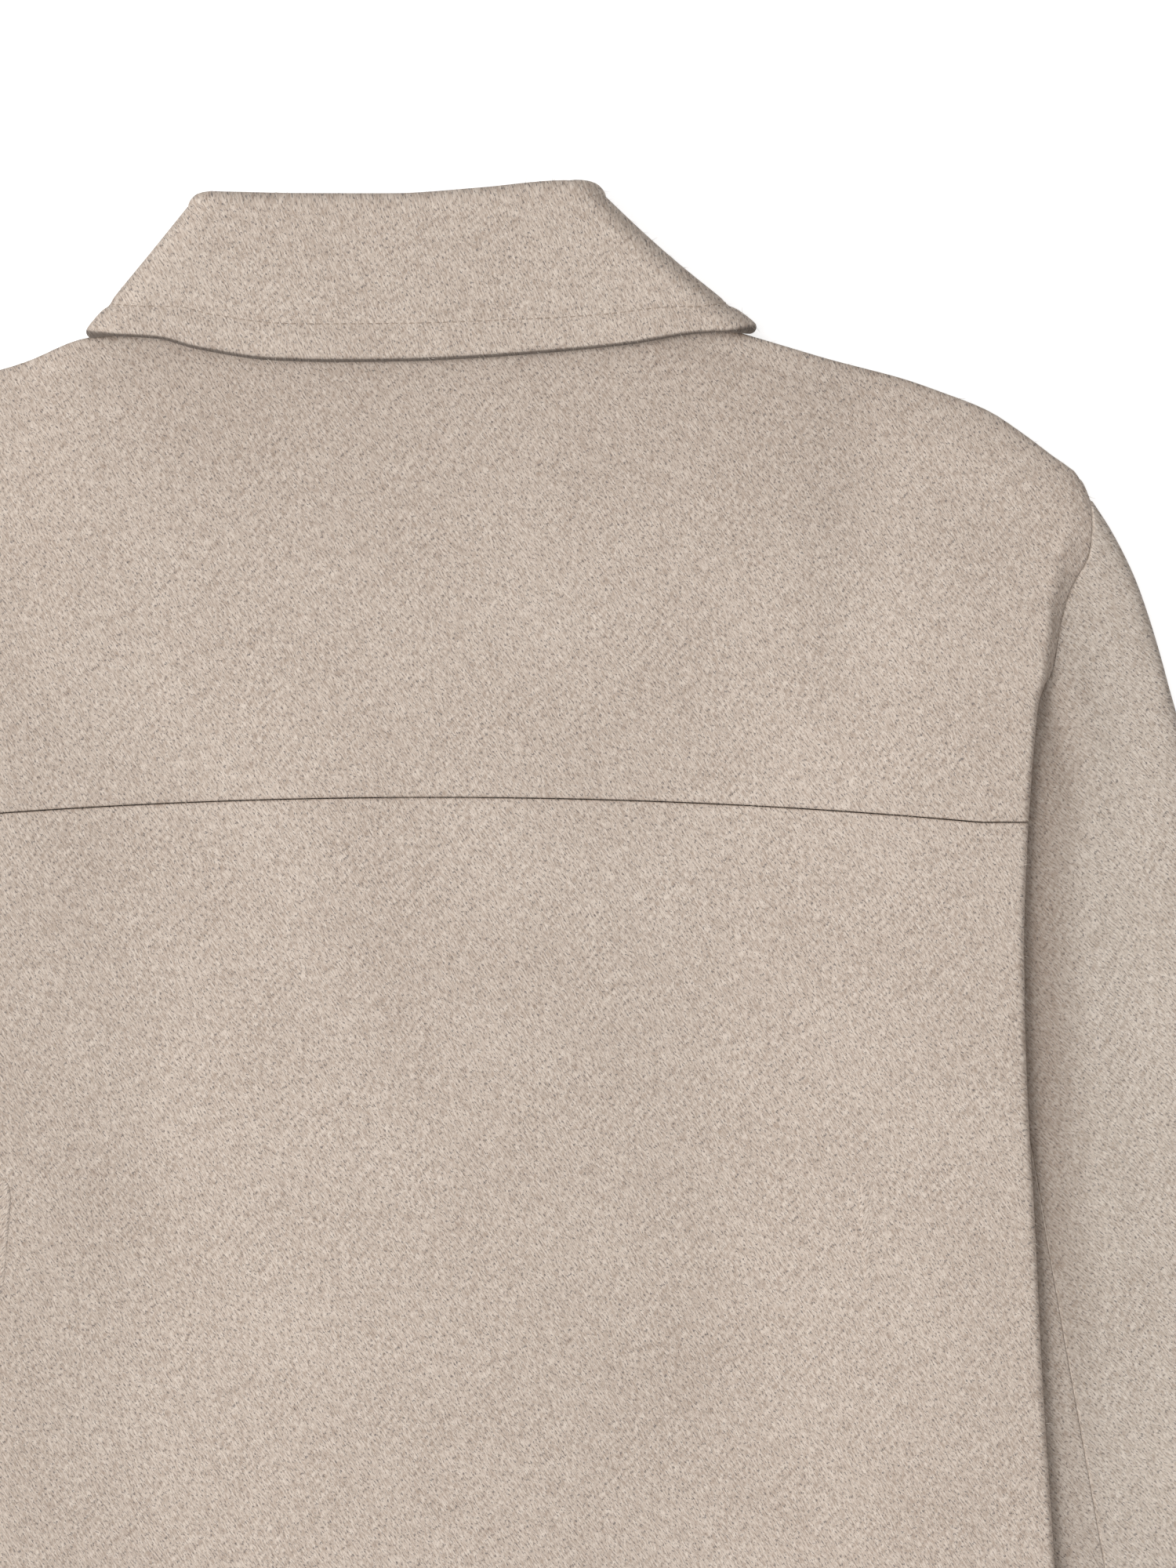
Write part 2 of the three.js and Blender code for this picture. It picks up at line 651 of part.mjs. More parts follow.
// A round button with four holes, lying on the surface.
function button(y) {
  const disc = new THREE.Shape(circle(0, 0, buttonRadius, 20));
  for (const quarter of [0, 1, 2, 3]) {
    const angle = Math.PI * (quarter / 2 + 0.25);
    const x = buttonHoleOffset * Math.cos(angle);
    disc.holes.push(new THREE.Path(circle(x, buttonHoleOffset * Math.sin(angle), buttonHoleRadius, 6)));
  }
  const shape = new THREE.ExtrudeGeometry(disc, { depth: buttonHeight, bevelEnabled: false });
  return shape.translate(0, y, 0);
}

const jacket = new THREE.Group();
const neck = neckHole();

const bodyColumns = [
  ...[...foldColumns].reverse().map((along) => -along),
  ...[...flatColumns].slice(1).reverse().map((along) => -along),
  ...flatColumns,
  ...foldColumns,
];
const sideEnd = (along) => Math.abs(along) <= 2 || [2.5, 3].includes(Math.abs(along));
addPiece('back_panel', wall(sideRowsBack, bodyColumns, cloth, backPanelPoint), colours.wool);

const yokeRows = [
  ...sideRowsYoke.map((y) => ({
    angle: 90,
    share: (y - sideRowsYoke[0]) / (sideRowsYoke.at(-1) - sideRowsYoke[0]),
    beyond: 0,
  })),
  ...rollAngles.slice(1).map((angle) => ({ angle, beyond: 0 })),
  { angle: -90, beyond: 0.5 },
  { angle: -90, beyond: 1 },
];
const yoke = toSolid(wall(yokeRows, bodyColumns.filter(sideEnd), cloth, yokePoint)).subtract(neck.yoke);
addPiece('back_yoke', toGeometry(yoke), colours.wool);

const lapColumns = [-1, -0.5, 0, 0.07, 0.11, 0.16];
const frontColumns = [...lapColumns, ...flatColumns.slice(1), ...foldColumns.filter(sideEnd)];
for (const [name, side] of [['front_left', -1], ['front_right', 1]]) {
  const point = (along, rowY) => frontPoint(side, side > 0, along, rowY);
  const front = toSolid(wall(sideRowsFront, frontColumns, cloth, point)).subtract(neck.front);
  addPiece(name, toGeometry(front), colours.wool);
}

const seamY = mix(underarmY, armholeTopY, sleeveSeamAt);
const flat = (y, angle) => ({ y, angle });
const upperColumns = [
  flat(seamY + curvedSeamGap / 2, 90),
  ...armholeTopUpper.map((y) => flat(y, 90)),
  ...rollAngles.map((angle) => ({ y: armholeTopY, angle, edge: 'outer', roll: shoulderRoll })),
  ...armholeBottomUpper.map((y) => flat(y, -90)),
  flat(seamY + curvedSeamGap / 2, -90),
];
const underColumns = [
  flat(seamY - curvedSeamGap / 2, 90),
  ...[...armholeTopUnder].reverse().map((y) => flat(y, 90)),
  ...rollAngles.map((angle) => ({ y: underarmY, angle, edge: 'inner', roll: innerFold })),
  ...armholeBottomUnder.map((y) => flat(y, -90)),
  flat(seamY - curvedSeamGap / 2, -90),
];
for (const [name, side] of [['left', -1], ['right', 1]]) {
  const point = (column, down) => sleevePoint(side, column, down);
  addPiece(`sleeve_${name}_upper`, wall(sleeveRows, upperColumns, cloth, point), colours.sleeve);
  addPiece(`sleeve_${name}_under`, wall(sleeveRows, underColumns, cloth, point), colours.sleeve);
}

const rollStops = evenly(1, 2, 5).slice(1);
const frontStops = evenly(2, 3, 5).slice(1);
const sideStops = [...rollStops, ...frontStops];
const collarStops = [
  ...[...sideStops].reverse().map((stop) => -stop),
  ...evenly(-1, 1, 12),
  ...sideStops,
];
const leafRows = [0, ...evenly(1, 2, 6), 2.25, 2.5, 2.75, 3];
addPiece('collar_stand', wall([0, 0.5, 1], collarStops, standCloth, standPoint), colours.collar);
addPiece('collar_leaf', wall(leafRows, collarStops, collarCloth, leafPoint), colours.collar);

buttonHeights.forEach((y, i) => {
  addPiece(`button_${i + 1}`, button(y), colours.button, 0.4);
});

export default jacket;
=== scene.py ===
"""A wool shirt jacket laid flat with its back up: its cloth, stitching, nap and buttons, in soft light.

Sizes are millimetres until a mesh is made. +Y points to the collar and +X to the wearer's right.
"""

import math

import bpy
import numpy as np
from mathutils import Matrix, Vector


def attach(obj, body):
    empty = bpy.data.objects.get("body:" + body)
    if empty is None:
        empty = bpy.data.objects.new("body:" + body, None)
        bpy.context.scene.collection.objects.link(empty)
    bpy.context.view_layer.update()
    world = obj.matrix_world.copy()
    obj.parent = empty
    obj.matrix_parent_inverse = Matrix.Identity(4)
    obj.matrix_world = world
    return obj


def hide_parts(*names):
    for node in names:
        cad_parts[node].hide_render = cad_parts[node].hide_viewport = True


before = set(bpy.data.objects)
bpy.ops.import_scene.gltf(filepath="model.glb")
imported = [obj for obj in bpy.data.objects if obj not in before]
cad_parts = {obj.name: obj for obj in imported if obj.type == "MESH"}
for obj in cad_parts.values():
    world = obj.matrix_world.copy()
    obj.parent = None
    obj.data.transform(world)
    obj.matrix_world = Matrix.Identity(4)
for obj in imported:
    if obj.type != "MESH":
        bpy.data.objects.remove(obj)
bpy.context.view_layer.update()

METRE = 0.001

# Cloth and seams
CLOTH = 2.4
SEAM_GAP = 0.3
CURVED_GAP = 0.35
ARMHOLE_GAP = 0.3
LAYER_STEP = CLOTH + SEAM_GAP
COLLAR_CLOTH = 4.4
STAND_CLOTH = 4.0
FLOOR_LEVEL = CLOTH / 2
BODY_RIM = 0.9
FRONT_RIM = 1.25
SLEEVE_RIM = 0.8
COLLAR_RIM = 2

# Heights along the body, from the middle of the outline
HEM_Y = -365.9
BACK_TOP_Y = 138.8
FRONT_TOP_Y = 205.5
YOKE_SEAM_Y = 147.6
YOKE_SEAM_FALL = 8.8
YOKE_SEAM_HALF = 210
UNDERARM_Y = 8
FORWARD_SEAM = 28
SHOULDER_ROLL = 19
HALF_SHOULDER = 226
ARMHOLE_X = 231.5

# A little fullness of the left shoulder beside the collar: its place, half width and height
FULLNESS = (-127, 14, 3.0)

# Neck hole
NECK_HALF = 80
NECK_SIDE_Y = 322
BACK_NECK_Y = 318
FRONT_NECK_Y = 246
NECK_BEND = (70, 250)
NECK_SPLIT_Z = 9.3

# Heights of the middle of each layer above the surface
BACK_LEVEL = 8
BACK_RIDGE = 1.9
BACK_NECK_LEVEL = 11.8
SIDE_LEVEL = 15.6
SHOULDER_LEVEL = 9
HEM_SIDE_LEVEL = 10.2
FRONT_NECK_LIFT = 4.7
BUTTON_LIFT = 2.9
SIDE_SEAM_LEVEL = 6.6
SLEEVE_TOP_LEVEL = 7.5

# Where the heights change, from the first of the two places to the second
COLLAR_LIFT_X, COLLAR_LIFT_Y = (160, 125), (165, 210)
RIDGE_X = (90, 25)
SIDE_X = (95, 198)
SHOULDER_Y = (254, 196)
HEM_SIDE_Y = (-290, -350)
BETWEEN_LEAVES_X, BETWEEN_LEAVES_Y = (26, 12), (285, 250)
BUTTON_STRIP_X, BUTTON_STRIP_Y = (34, 14), (-240, -214)
LAP_X = (38, 24)

# How far below the underarm the back's turned-under cloth starts to come down, and is down
SEAM_DROP_START = 33
SEAM_DROP_END = 80
SEAM_DROP_WIDTH = 18

# Fronts and buttons
OVERLAP = 20
LAP_STEP = LAYER_STEP + 0.3
BUTTON_HEIGHTS = (228, 123, 18, -87, -192)

# Sleeves
SLEEVE_SEAM_AT = 0.295
CUFF_INNER = (238, -335)
CUFF_OUTER = (369.8, -306.5)
INNER_FOLD = 1.5
SLEEVE_TURN = 12
ARMHOLE_TILT = 0.6
SLEEVE_SETTLE = (0, 0.1)
# Where each layer of the sleeve rises beside the body's fold: its height, its rise and where that fades
NOTCH_Y = (-340, -290)
TOP_NOTCH = dict(level=SLEEVE_TOP_LEVEL, rise=2.4, end_y=(250, 200), past_fold=(40, 2))
BOTTOM_NOTCH = dict(level=FLOOR_LEVEL, rise=5.7, end_y=(200, 178), past_fold=(34, 8))

# Collar
FOLD_SETBACK = 5.2
STAND_SHARE = 0.86
LEAF_BOW = (0.3, 2.2)

# Rows of stitches, from the edge that each one follows
COLLAR_STITCH = 13.5
HEM_STITCH = 25
FRONT_STITCH = 6.5
SLEEVE_STITCH = 8.6

# Size of the laid-out cloth that a grid covers, for its spacing
HALF_BACK = 211
TURNED_UNDER = 40
YOKE_DEPTH = 95
SLEEVE_LENGTH = 575
UPPER_SLEEVE = 128
UNDER_SLEEVE = 70
COLLAR_BACK = 215
COLLAR_FRONT = 105
STAND_HEIGHT = 30
LEAF_RISE = 5
LEAF_DEPTH = 55

# Spacing of the grids across and along the cloth
BODY_SPACING = 3.6
YOKE_SPACING = 2.6
FRONT_SPACING = 5
SLEEVE_SPACING = 3.6
COLLAR_SPACING = 2
LEAF_SPACING = 1.3
WIDE_SPACING = 4
CLOSE_PLACES = (0.12, 0.4, 0.85, 1.4, 2.2)

SEED = 11


def mix(start, end, share):
    return start + (end - start) * share


def ease(value, start, end):
    """0 at the value start, 1 at the value end, smooth between them."""
    share = np.clip((value - start) / (end - start), 0, 1)
    return share * share * (3 - 2 * share)


def bell(distance, width):
    return np.exp(-((distance / width) ** 2))


class Table:
    """Rows with named columns. A column reads as a smooth curve that keeps between its rows."""

    def __init__(self, names, rows):
        self.columns = dict(zip(names.split(), np.array(rows, float).T))
        self.places = next(iter(self.columns.values()))

    def read(self, name, place):
        places, values = self.places, self.columns[name]
        rise = np.diff(values) / np.diff(places)
        before, after = rise[:-1], rise[1:]
        same = before * after > 0
        total = np.where(same, before + after, 1)
        slope = np.concatenate([rise[:1], np.where(same, 2 * before * after / total, 0), rise[-1:]])
        at = np.clip(place, places[0], places[-1])
        i = np.clip(np.searchsorted(places, at), 1, len(places) - 1) - 1
        step = places[i + 1] - places[i]
        t = (at - places[i]) / step
        lean = t * (1 - t) ** 2 * slope[i] + t * t * (t - 1) * slope[i + 1]
        return mix(values[i], values[i + 1], t * t * (3 - 2 * t)) + step * lean


# How the back and the fronts fold at their sides, by height: the outer edge of the fold, its angle in
# degrees, its radius, and the cloth beyond it, up to the side seam or the armhole.
BACK_SIDE = Table("y fold turn bend under", [
    (-365, 231.0, 180, 1.35, 30),
    (-285, 227.2, 180, 1.35, 36),
    (-125, 219.4, 180, 1.35, 49),
    (-60, 215.2, 180, 1.35, 57),
    (8, 211.8, 180, 1.35, 59.4),
    (25, 210.7, 180, 1.35, 41),
    (50, 209.5, 180, 1.35, 22),
    (75, 208.8, 180, 1.35, 11),
    (97, 208.6, 180, 1.35, 6),
    (140, 210.3, 180, 1.35, 3),
    (175, 213.0, 180, 1.35, 3),
    (194, 215.0, 60, 2.5, 4),
    (208, 216.0, 50, 3, 4.7),
    (217, 217.0, 40, 4, 5.4),
    (225, 218.7, 27, 5, 7),
    (233, 221.0, 14, 8, 9),
    (244, 223.8, 8, 14, 7.4),
    (254, 226.0, 5, 20, 4),
    (268, 226.0, 5, 20, 4),
])
FRONT_SIDE = Table("y fold turn bend under", [
    (-365, 231.0, 180, 1.35, 31),
    (-285, 227.2, 180, 1.35, 37),
    (-125, 219.4, 180, 1.35, 50),
    (-60, 215.2, 180, 1.35, 58),
    (8, 211.8, 180, 1.35, 59.4),
    (25, 210.7, 180, 1.35, 41),
    (50, 209.5, 180, 1.35, 22),
    (75, 208.8, 180, 1.35, 11),
    (97, 208.6, 180, 1.35, 6),
    (140, 210.3, 180, 1.35, 1.5),
    (150, 211.0, 120, 1.5, 1),
    (160, 211.8, 60, 3, 2),
    (175, 213.0, 20, 6, 2),
    (194, 214.0, 4, 30, 2.1),
    (208, 215.0, 4, 30, 3.5),
    (217, 216.0, 4, 30, 5),
    (225, 218.0, 4, 30, 6.8),
    (233, 221.0, 4, 30, 8.5),
    (244, 223.8, 4, 30, 7.1),
    (254, 226.0, 4, 30, 3.6),
    (268, 226.0, 4, 30, 3.6),
])
SHOULDER_LINE = Table("x y", [
    (0, 332), (40, 329), (80, 320.5), (114, 310.8), (137.5, 303.9), (165.3, 296.7), (179.2, 291.9),
    (195.8, 285.3), (206.9, 278.1), (218.1, 269.7), (229.2, 260.8), (231.5, 254),
])
SLEEVE_OUTER_EDGE = [
    (239.4, 241.4), (247.2, 225.8), (252.6, 210.8), (256.8, 196.8), (259.8, 185.6), (262.3, 176.7),
    (289.2, 55), (328.8, -120), CUFF_OUTER,
]
FOLD_LINE = Table("x y", [
    (-89, 360.5), (-81, 362), (-48, 361.6), (-15, 361.6), (15, 363.4), (46, 365.8), (60, 364),
])
LEAF_EDGE = Table("x y", [
    (-122, 311.3), (-98.6, 310), (-84.7, 306.4), (-57, 302.3), (-35, 301.7), (-9.7, 302),
    (12.5, 303), (40, 305), (68, 307.8), (96, 312), (114, 312.5),
])

# The rings of the collar: their sides, the roll there, the bend and end in front, and their heights
STAND_BASE = dict(
    left=(-77.4, 322), right=(77.4, 322), roll=4,
    bend=(68, 252), end=(3, 246.8), high=12, low=6.7,
)
FOLD_INSIDE = dict(left=(-79, 356.4), right=(51, 359), roll=5, bend=(44, 288), end=(3, 274), high=12, low=7)
FOLD_OUTSIDE = dict(
    left=(-85.5, 356.4), right=(58.5, 359), roll=9,
    bend=(43, 286), end=(3, 274.5), high=18, low=2.2,
)
LEAF_RIM = dict(
    left=(-123, 311.4), right=(113.5, 314), roll=9,
    bend=(98, 262), end=(66, 217), high=16.2, low=2.2,
)

# Soft ridges, and troughs where the height is below 0, each along a line in the plan
BACK_CREASES = [
    # start x, y, end x, y, width, height
    (96, 120, 104, -92, 17, -0.34),
    (62, 96, 74, -40, 15, 0.24),
    (138, 60, 150, -110, 20, 0.26),
    (-60, 132, -84, -30, 22, -0.28),
    (-128, 118, -120, -70, 18, 0.3),
    (-176, 20, -160, -150, 20, -0.26),
    (14, 60, -22, -120, 26, 0.26),
    (-30, -90, -52, -262, 22, -0.32),
    (70, -130, 46, -300, 24, 0.3),
    (150, -150, 128, -318, 20, -0.3),
    (-118, -170, -96, -334, 22, 0.28),
    (186, -60, 178, -260, 12, 0.22),
    (20, 236, 150, 184, 22, -0.3),
    (70, 268, 176, 226, 18, 0.26),
    (-16, 190, -140, 232, 24, 0.24),
    (-60, 268, -168, 206, 17, -0.28),
    (120, 176, 196, 158, 14, 0.2),
    (-104, 166, -190, 172, 14, 0.2),
    (-14, 296, 22, 214, 26, -0.22),
]
FRONT_CREASES = [
    (60, 150, 92, -60, 20, 0.3),
    (120, 90, 132, -140, 24, -0.34),
    (58, -70, 74, -250, 18, -0.26),
    (150, -120, 140, -300, 20, 0.28),
    (100, -200, 110, -340, 16, 0.22),
]
RIGHT_SLEEVE_CREASES = [
    (243, 190, 252, 60, 9, -0.34),
    (262, 120, 276, -10, 11, 0.3),
    (236, 60, 250, -70, 9, 0.3),
    (268, 0, 306, -130, 12, -0.3),
    (292, -60, 300, -190, 10, 0.26),
    (262, -150, 300, -250, 13, -0.32),
    (320, -150, 340, -270, 10, 0.26),
    (262, -215, 282, -318, 11, 0.26),
]
LEFT_SLEEVE_CREASES = [
    (240, 176, 256, 76, 10, -0.3),
    (266, 132, 270, 20, 10, 0.28),
    (238, 30, 262, -90, 10, 0.3),
    (280, -10, 296, -150, 13, -0.3),
    (306, -90, 316, -210, 9, 0.24),
    (256, -120, 284, -238, 14, -0.3),
    (328, -190, 346, -286, 10, 0.28),
    (270, -240, 290, -322, 10, 0.24),
]
# Short creases across the yoke's fold beside the armhole: y, half width, height
ARMHOLE_CREASES = [
    (238.5, 2.6, 0.34), (231.0, 2.9, -0.3), (223.0, 2.7, 0.38),
    (214.5, 3.1, -0.34), (205.5, 3.2, 0.3), (195.0, 3.4, -0.26),
]
# Short puckers across the lapped sleeve seam: share of the way down, half length, height
SEAM_PUCKERS = [
    (0.215, 0.008, 0.2), (0.247, 0.011, -0.22), (0.272, 0.007, 0.16), (0.306, 0.012, 0.24),
    (0.335, 0.008, -0.2), (0.371, 0.012, 0.22), (0.402, 0.009, -0.24), (0.429, 0.008, 0.18),
    (0.468, 0.013, 0.22), (0.507, 0.01, -0.2), (0.553, 0.012, 0.2), (0.602, 0.01, -0.22),
    (0.648, 0.013, 0.2), (0.707, 0.012, -0.2), (0.762, 0.012, 0.22), (0.828, 0.014, -0.2),
    (0.885, 0.011, 0.2), (0.936, 0.01, -0.18),
]
# Soft ups and downs of the collar's free edge: place round the collar, half length, height
COLLAR_WAVES = [
    (-0.9, 0.16, 0.3), (-0.62, 0.12, -0.22), (-0.36, 0.14, 0.26), (-0.08, 0.13, -0.26),
    (0.2, 0.16, 0.28), (0.5, 0.12, -0.2), (0.78, 0.14, 0.24), (2.3, 0.14, 0.25), (2.65, 0.12, -0.2),
    (-2.35, 0.13, 0.24), (-2.7, 0.1, -0.2),
]


def creases(rows, x, y):
    """The height that soft ridges and troughs add at places on the flat cloth."""
    height = np.zeros(np.broadcast(x, y).shape)
    for from_x, from_y, to_x, to_y, width, rise in rows:
        run_x, run_y = to_x - from_x, to_y - from_y
        share = ((x - from_x) * run_x + (y - from_y) * run_y) / (run_x**2 + run_y**2)
        share = np.clip(share, 0, 1)
        away = np.hypot(x - from_x - share * run_x, y - from_y - share * run_y)
        height += rise * bell(away, width) * np.sqrt(np.sin(np.pi * share))
    return height


def waves(rows, place):
    return sum(rise * bell(place - middle, half) for middle, half, rise in rows)


# Shells


def unit(vectors):
    return vectors / np.maximum(np.linalg.norm(vectors, axis=-1, keepdims=True), 1e-9)


def steps_along(grid, axis):
    """The mean direction of the grid at each point, along one of its axes."""
    step = unit(np.diff(grid, axis=axis))
    none = np.zeros_like(np.take(step, [0], axis))
    return unit(np.concatenate([none, step], axis) + np.concatenate([step, none], axis))


def lengths_along(grid, axis):
    """How far each point is from the grid's first edge, along one of its axes."""
    step = np.linalg.norm(np.diff(grid, axis=axis), axis=-1)
    none = np.zeros_like(np.take(step, [0], axis))
    return np.cumsum(np.concatenate([none, step], axis), axis)


def stops(start, end, spacing, length, close_start=True, close_end=True):
    """Places from start to end, spacing apart over a length, and close together near a finished edge."""
    close = np.array(CLOSE_PLACES) / length
    even = np.linspace(0, 1, max(2, round(length / spacing) + 1))
    keep = even[(even > close[-1] * close_start + 1e-9) & (even < 1 - close[-1] * close_end - 1e-9)]
    first = [[0], close] if close_start else [[0]]
    final = [1 - close[::-1], [1]] if close_end else [[1]]
    return mix(start, end, np.unique(np.concatenate([*first, keep, *final])))


def one_by_one(first, *others):
    """The places of several runs, each of which starts where the one before it ends."""
    return np.concatenate([first, *[run[1:] for run in others]])


class Shell:
    """A cloth wall about a grid of middle points, rounded at its rims. face is the side that shows.

    raised is relief on its outside, grain the laid-out cloth, tone painted warm shade and shade a painted
    neutral shadow.
    """

    def __init__(self, rows, columns, middle, thickness, rim, face=1):
        self.rows, self.columns, self.middle = rows, columns, middle
        self.thickness, self.rim = thickness, rim
        self.normal = face * unit(np.cross(steps_along(middle, 1), steps_along(middle, 0)))
        along, down = lengths_along(middle, 1), lengths_along(middle, 0)
        self.from_left, self.from_right = along, along[:, -1:] - along
        self.from_start, self.from_end = down, down[-1:] - down
        self.raised = np.zeros(middle.shape[:2])
        self.grain = np.zeros(middle.shape[:2] + (2,))
        self.tone = np.zeros(middle.shape[:2])
        self.shade = np.zeros(middle.shape[:2])

    def half_thickness(self):
        edge = np.minimum.reduce([self.from_left, self.from_right, self.from_start, self.from_end])
        near = 1 - np.clip(edge, 0, self.rim) / self.rim
        return np.sqrt(np.clip(1 - near**2, 0, 1)) * self.thickness / 2

    def outside(self):
        half = self.half_thickness()
        full = half / (self.thickness / 2)
        return self.middle + self.normal * (half + self.raised * full)[..., None]

    def inside(self):
        return self.middle - self.normal * self.half_thickness()[..., None]

    def place(self, row, column):
        """Points on the outside, and the directions out of it, at rows and columns of the grid."""
        r = np.interp(row, self.rows, np.arange(len(self.rows)))
        c = np.interp(column, self.columns, np.arange(len(self.columns)))
        r0 = np.minimum(r.astype(int), len(self.rows) - 2)
        c0 = np.minimum(c.astype(int), len(self.columns) - 2)
        fr, fc = (r - r0)[:, None], (c - c0)[:, None]
        found = []
        for grid in (self.outside(), self.normal):
            low = mix(grid[r0, c0], grid[r0, c0 + 1], fc)
            high = mix(grid[r0 + 1, c0], grid[r0 + 1, c0 + 1], fc)
            found.append(mix(low, high, fr))
        return found[0], unit(found[1])

    def make(self, name):
        """The closed mesh object of the shell, with its grain as a UV map."""
        height, width = self.middle.shape[:2]
        outer = np.arange(height * width).reshape(height, width)
        inner = outer.copy()
        count = (height - 2) * (width - 2)
        inner[1:-1, 1:-1] = height * width + np.arange(count).reshape(height - 2, -1)
        points = np.concatenate([self.outside().reshape(-1, 3), self.inside()[1:-1, 1:-1].reshape(-1, 3)])
        grain = np.concatenate([self.grain.reshape(-1, 2), self.grain[1:-1, 1:-1].reshape(-1, 2)])
        clear_of_floor = (self.normal[..., 2] > -0.3).ravel().astype(float)
        facts = {"shown": np.concatenate([clear_of_floor, np.zeros(count)])}
        # tone and shade are painted shade that the wool's finish mixes into its colour
        for key, grid in (("tone", self.tone), ("shade", self.shade)):
            facts[key] = np.concatenate([grid.ravel(), grid[1:-1, 1:-1].ravel()])
        top, low = quads(outer), quads(inner)[:, ::-1]
        return add_mesh(name, points, np.concatenate([top, low]), grain, facts)


def quads(index):
    return np.stack([index[:-1, :-1], index[:-1, 1:], index[1:, 1:], index[1:, :-1]], -1).reshape(-1, 4)


def add_mesh(name, points, faces, grain, facts):
    """A smooth mesh object of four-sided faces, turned to face out, from points in millimetres."""
    first, second, third, fourth = points[faces].swapaxes(0, 1)
    volume = np.einsum("ij,ij->", first, np.cross(second, third) + np.cross(third, fourth))
    if volume < 0:
        faces = faces[:, ::-1]
    made = object_of(name, points, faces.tolist())
    mesh = made.data
    used = np.empty(len(mesh.loops), int)
    mesh.loops.foreach_get("vertex_index", used)
    mesh.uv_layers.new(name="grain").data.foreach_set("uv", (grain[used] * METRE).ravel())
    for key, numbers in facts.items():
        mesh.attributes.new(key, "FLOAT", "POINT").data.foreach_set("value", numbers)
    mesh.shade_smooth()
    return made


def add_object(name, mesh):
    made = bpy.data.objects.new(name, mesh)
    bpy.context.collection.objects.link(made)
    return made


def object_of(name, points, faces):
    """A mesh object from points in millimetres."""
    mesh = bpy.data.meshes.new(name)
    mesh.from_pydata((np.array(points) * METRE).tolist(), [], faces)
    return add_object(name, mesh)


def settle(thing):
    """Works the object's modifiers into a plain mesh."""
    bpy.context.view_layer.update()
    seen = thing.evaluated_get(bpy.context.evaluated_depsgraph_get())
    mesh = bpy.data.meshes.new_from_object(seen)
    thing.modifiers.clear()
    thing.data = mesh
    mesh.name = thing.name


def cut_away(thing, cutters):
    """Takes the blocks away from the object, and removes them."""
    for cutter in cutters:
        cut = thing.modifiers.new("cut", "BOOLEAN")
        cut.operation = "DIFFERENCE"
        cut.solver = "MANIFOLD"
        cut.object = cutter
    settle(thing)
    for cutter in cutters:
        bpy.data.objects.remove(cutter)
    thing.data.shade_smooth()


def prism(name, outline, low, high):
    """An upright block with a plan outline."""
    count = len(outline)
    ring = np.array(outline, float)
    points = np.concatenate([np.c_[ring, np.full(count, low)], np.c_[ring, np.full(count, high)]])
    sides = [(i, (i + 1) % count, (i + 1) % count + count, i + count) for i in range(count)]
    ends = [list(range(count))[::-1], list(range(count, 2 * count))]
    return object_of(name, points, ends + sides)


# Body


def collar_lift(x, y):
    return ease(np.abs(x), *COLLAR_LIFT_X) * ease(y, *COLLAR_LIFT_Y)


def back_height(x, y):
    """Middle height of the back, up to its side fold."""
    middle = BACK_LEVEL + BACK_RIDGE * ease(np.abs(x), *RIDGE_X)
    centre = mix(middle, BACK_NECK_LEVEL, collar_lift(x, y))
    below_shoulder = mix(SHOULDER_LEVEL, SIDE_LEVEL, ease(y, *SHOULDER_Y))
    side = mix(below_shoulder, HEM_SIDE_LEVEL, ease(y, *HEM_SIDE_Y))
    return mix(centre, side, ease(np.abs(x), *SIDE_X))


def front_height(x, y):
    """Middle height of the fronts, up to their side fold."""
    between_leaves = ease(np.abs(x), *BETWEEN_LEAVES_X) * ease(y, *BETWEEN_LEAVES_Y)
    lift = collar_lift(x, y) * (1 - between_leaves)
    strip = ease(np.abs(x), *BUTTON_STRIP_X) * ease(y, *BUTTON_STRIP_Y)
    return FLOOR_LEVEL + FRONT_NECK_LIFT * lift + BUTTON_LIFT * strip * (1 - lift)


class SidePath:
    """A place along the cloth from the centre (0) to the fold (1), round it (2) and to its edge (3)."""

    def __init__(self, table, along, y):
        fold, bend, under = (table.read(name, y) for name in ("fold", "bend", "under"))
        self.turn = np.radians(table.read("turn", y))
        self.start = fold - (bend + CLOTH / 2) * np.sin(self.turn / 2) ** 2
        bent = self.turn * np.clip(along - 1, 0, 1)
        beyond = under * np.maximum(along - 2, 0)
        flat = self.start * np.minimum(along, 1)
        self.x = flat + bend * np.sin(bent) + beyond * np.cos(self.turn)
        self.drop = bend * (1 - np.cos(bent)) + beyond * np.sin(self.turn)
        self.from_edge = under - beyond
        self.cloth_x = flat + bend * bent + beyond


def armhole_edge(table, y):
    """The seam edge of the armhole at a height, half the cloth inside the sleeve's start: x and z."""
    path = SidePath(table, 3, y)
    away = (CLOTH + CURVED_GAP) / 2 * (1 - np.cos(path.turn))
    x = path.x + ARMHOLE_GAP + ARMHOLE_TILT * np.sin(path.turn)
    if table is BACK_SIDE:
        return x, back_height(path.start, y) - path.drop - away
    return x, front_height(path.start, y) + path.drop + away


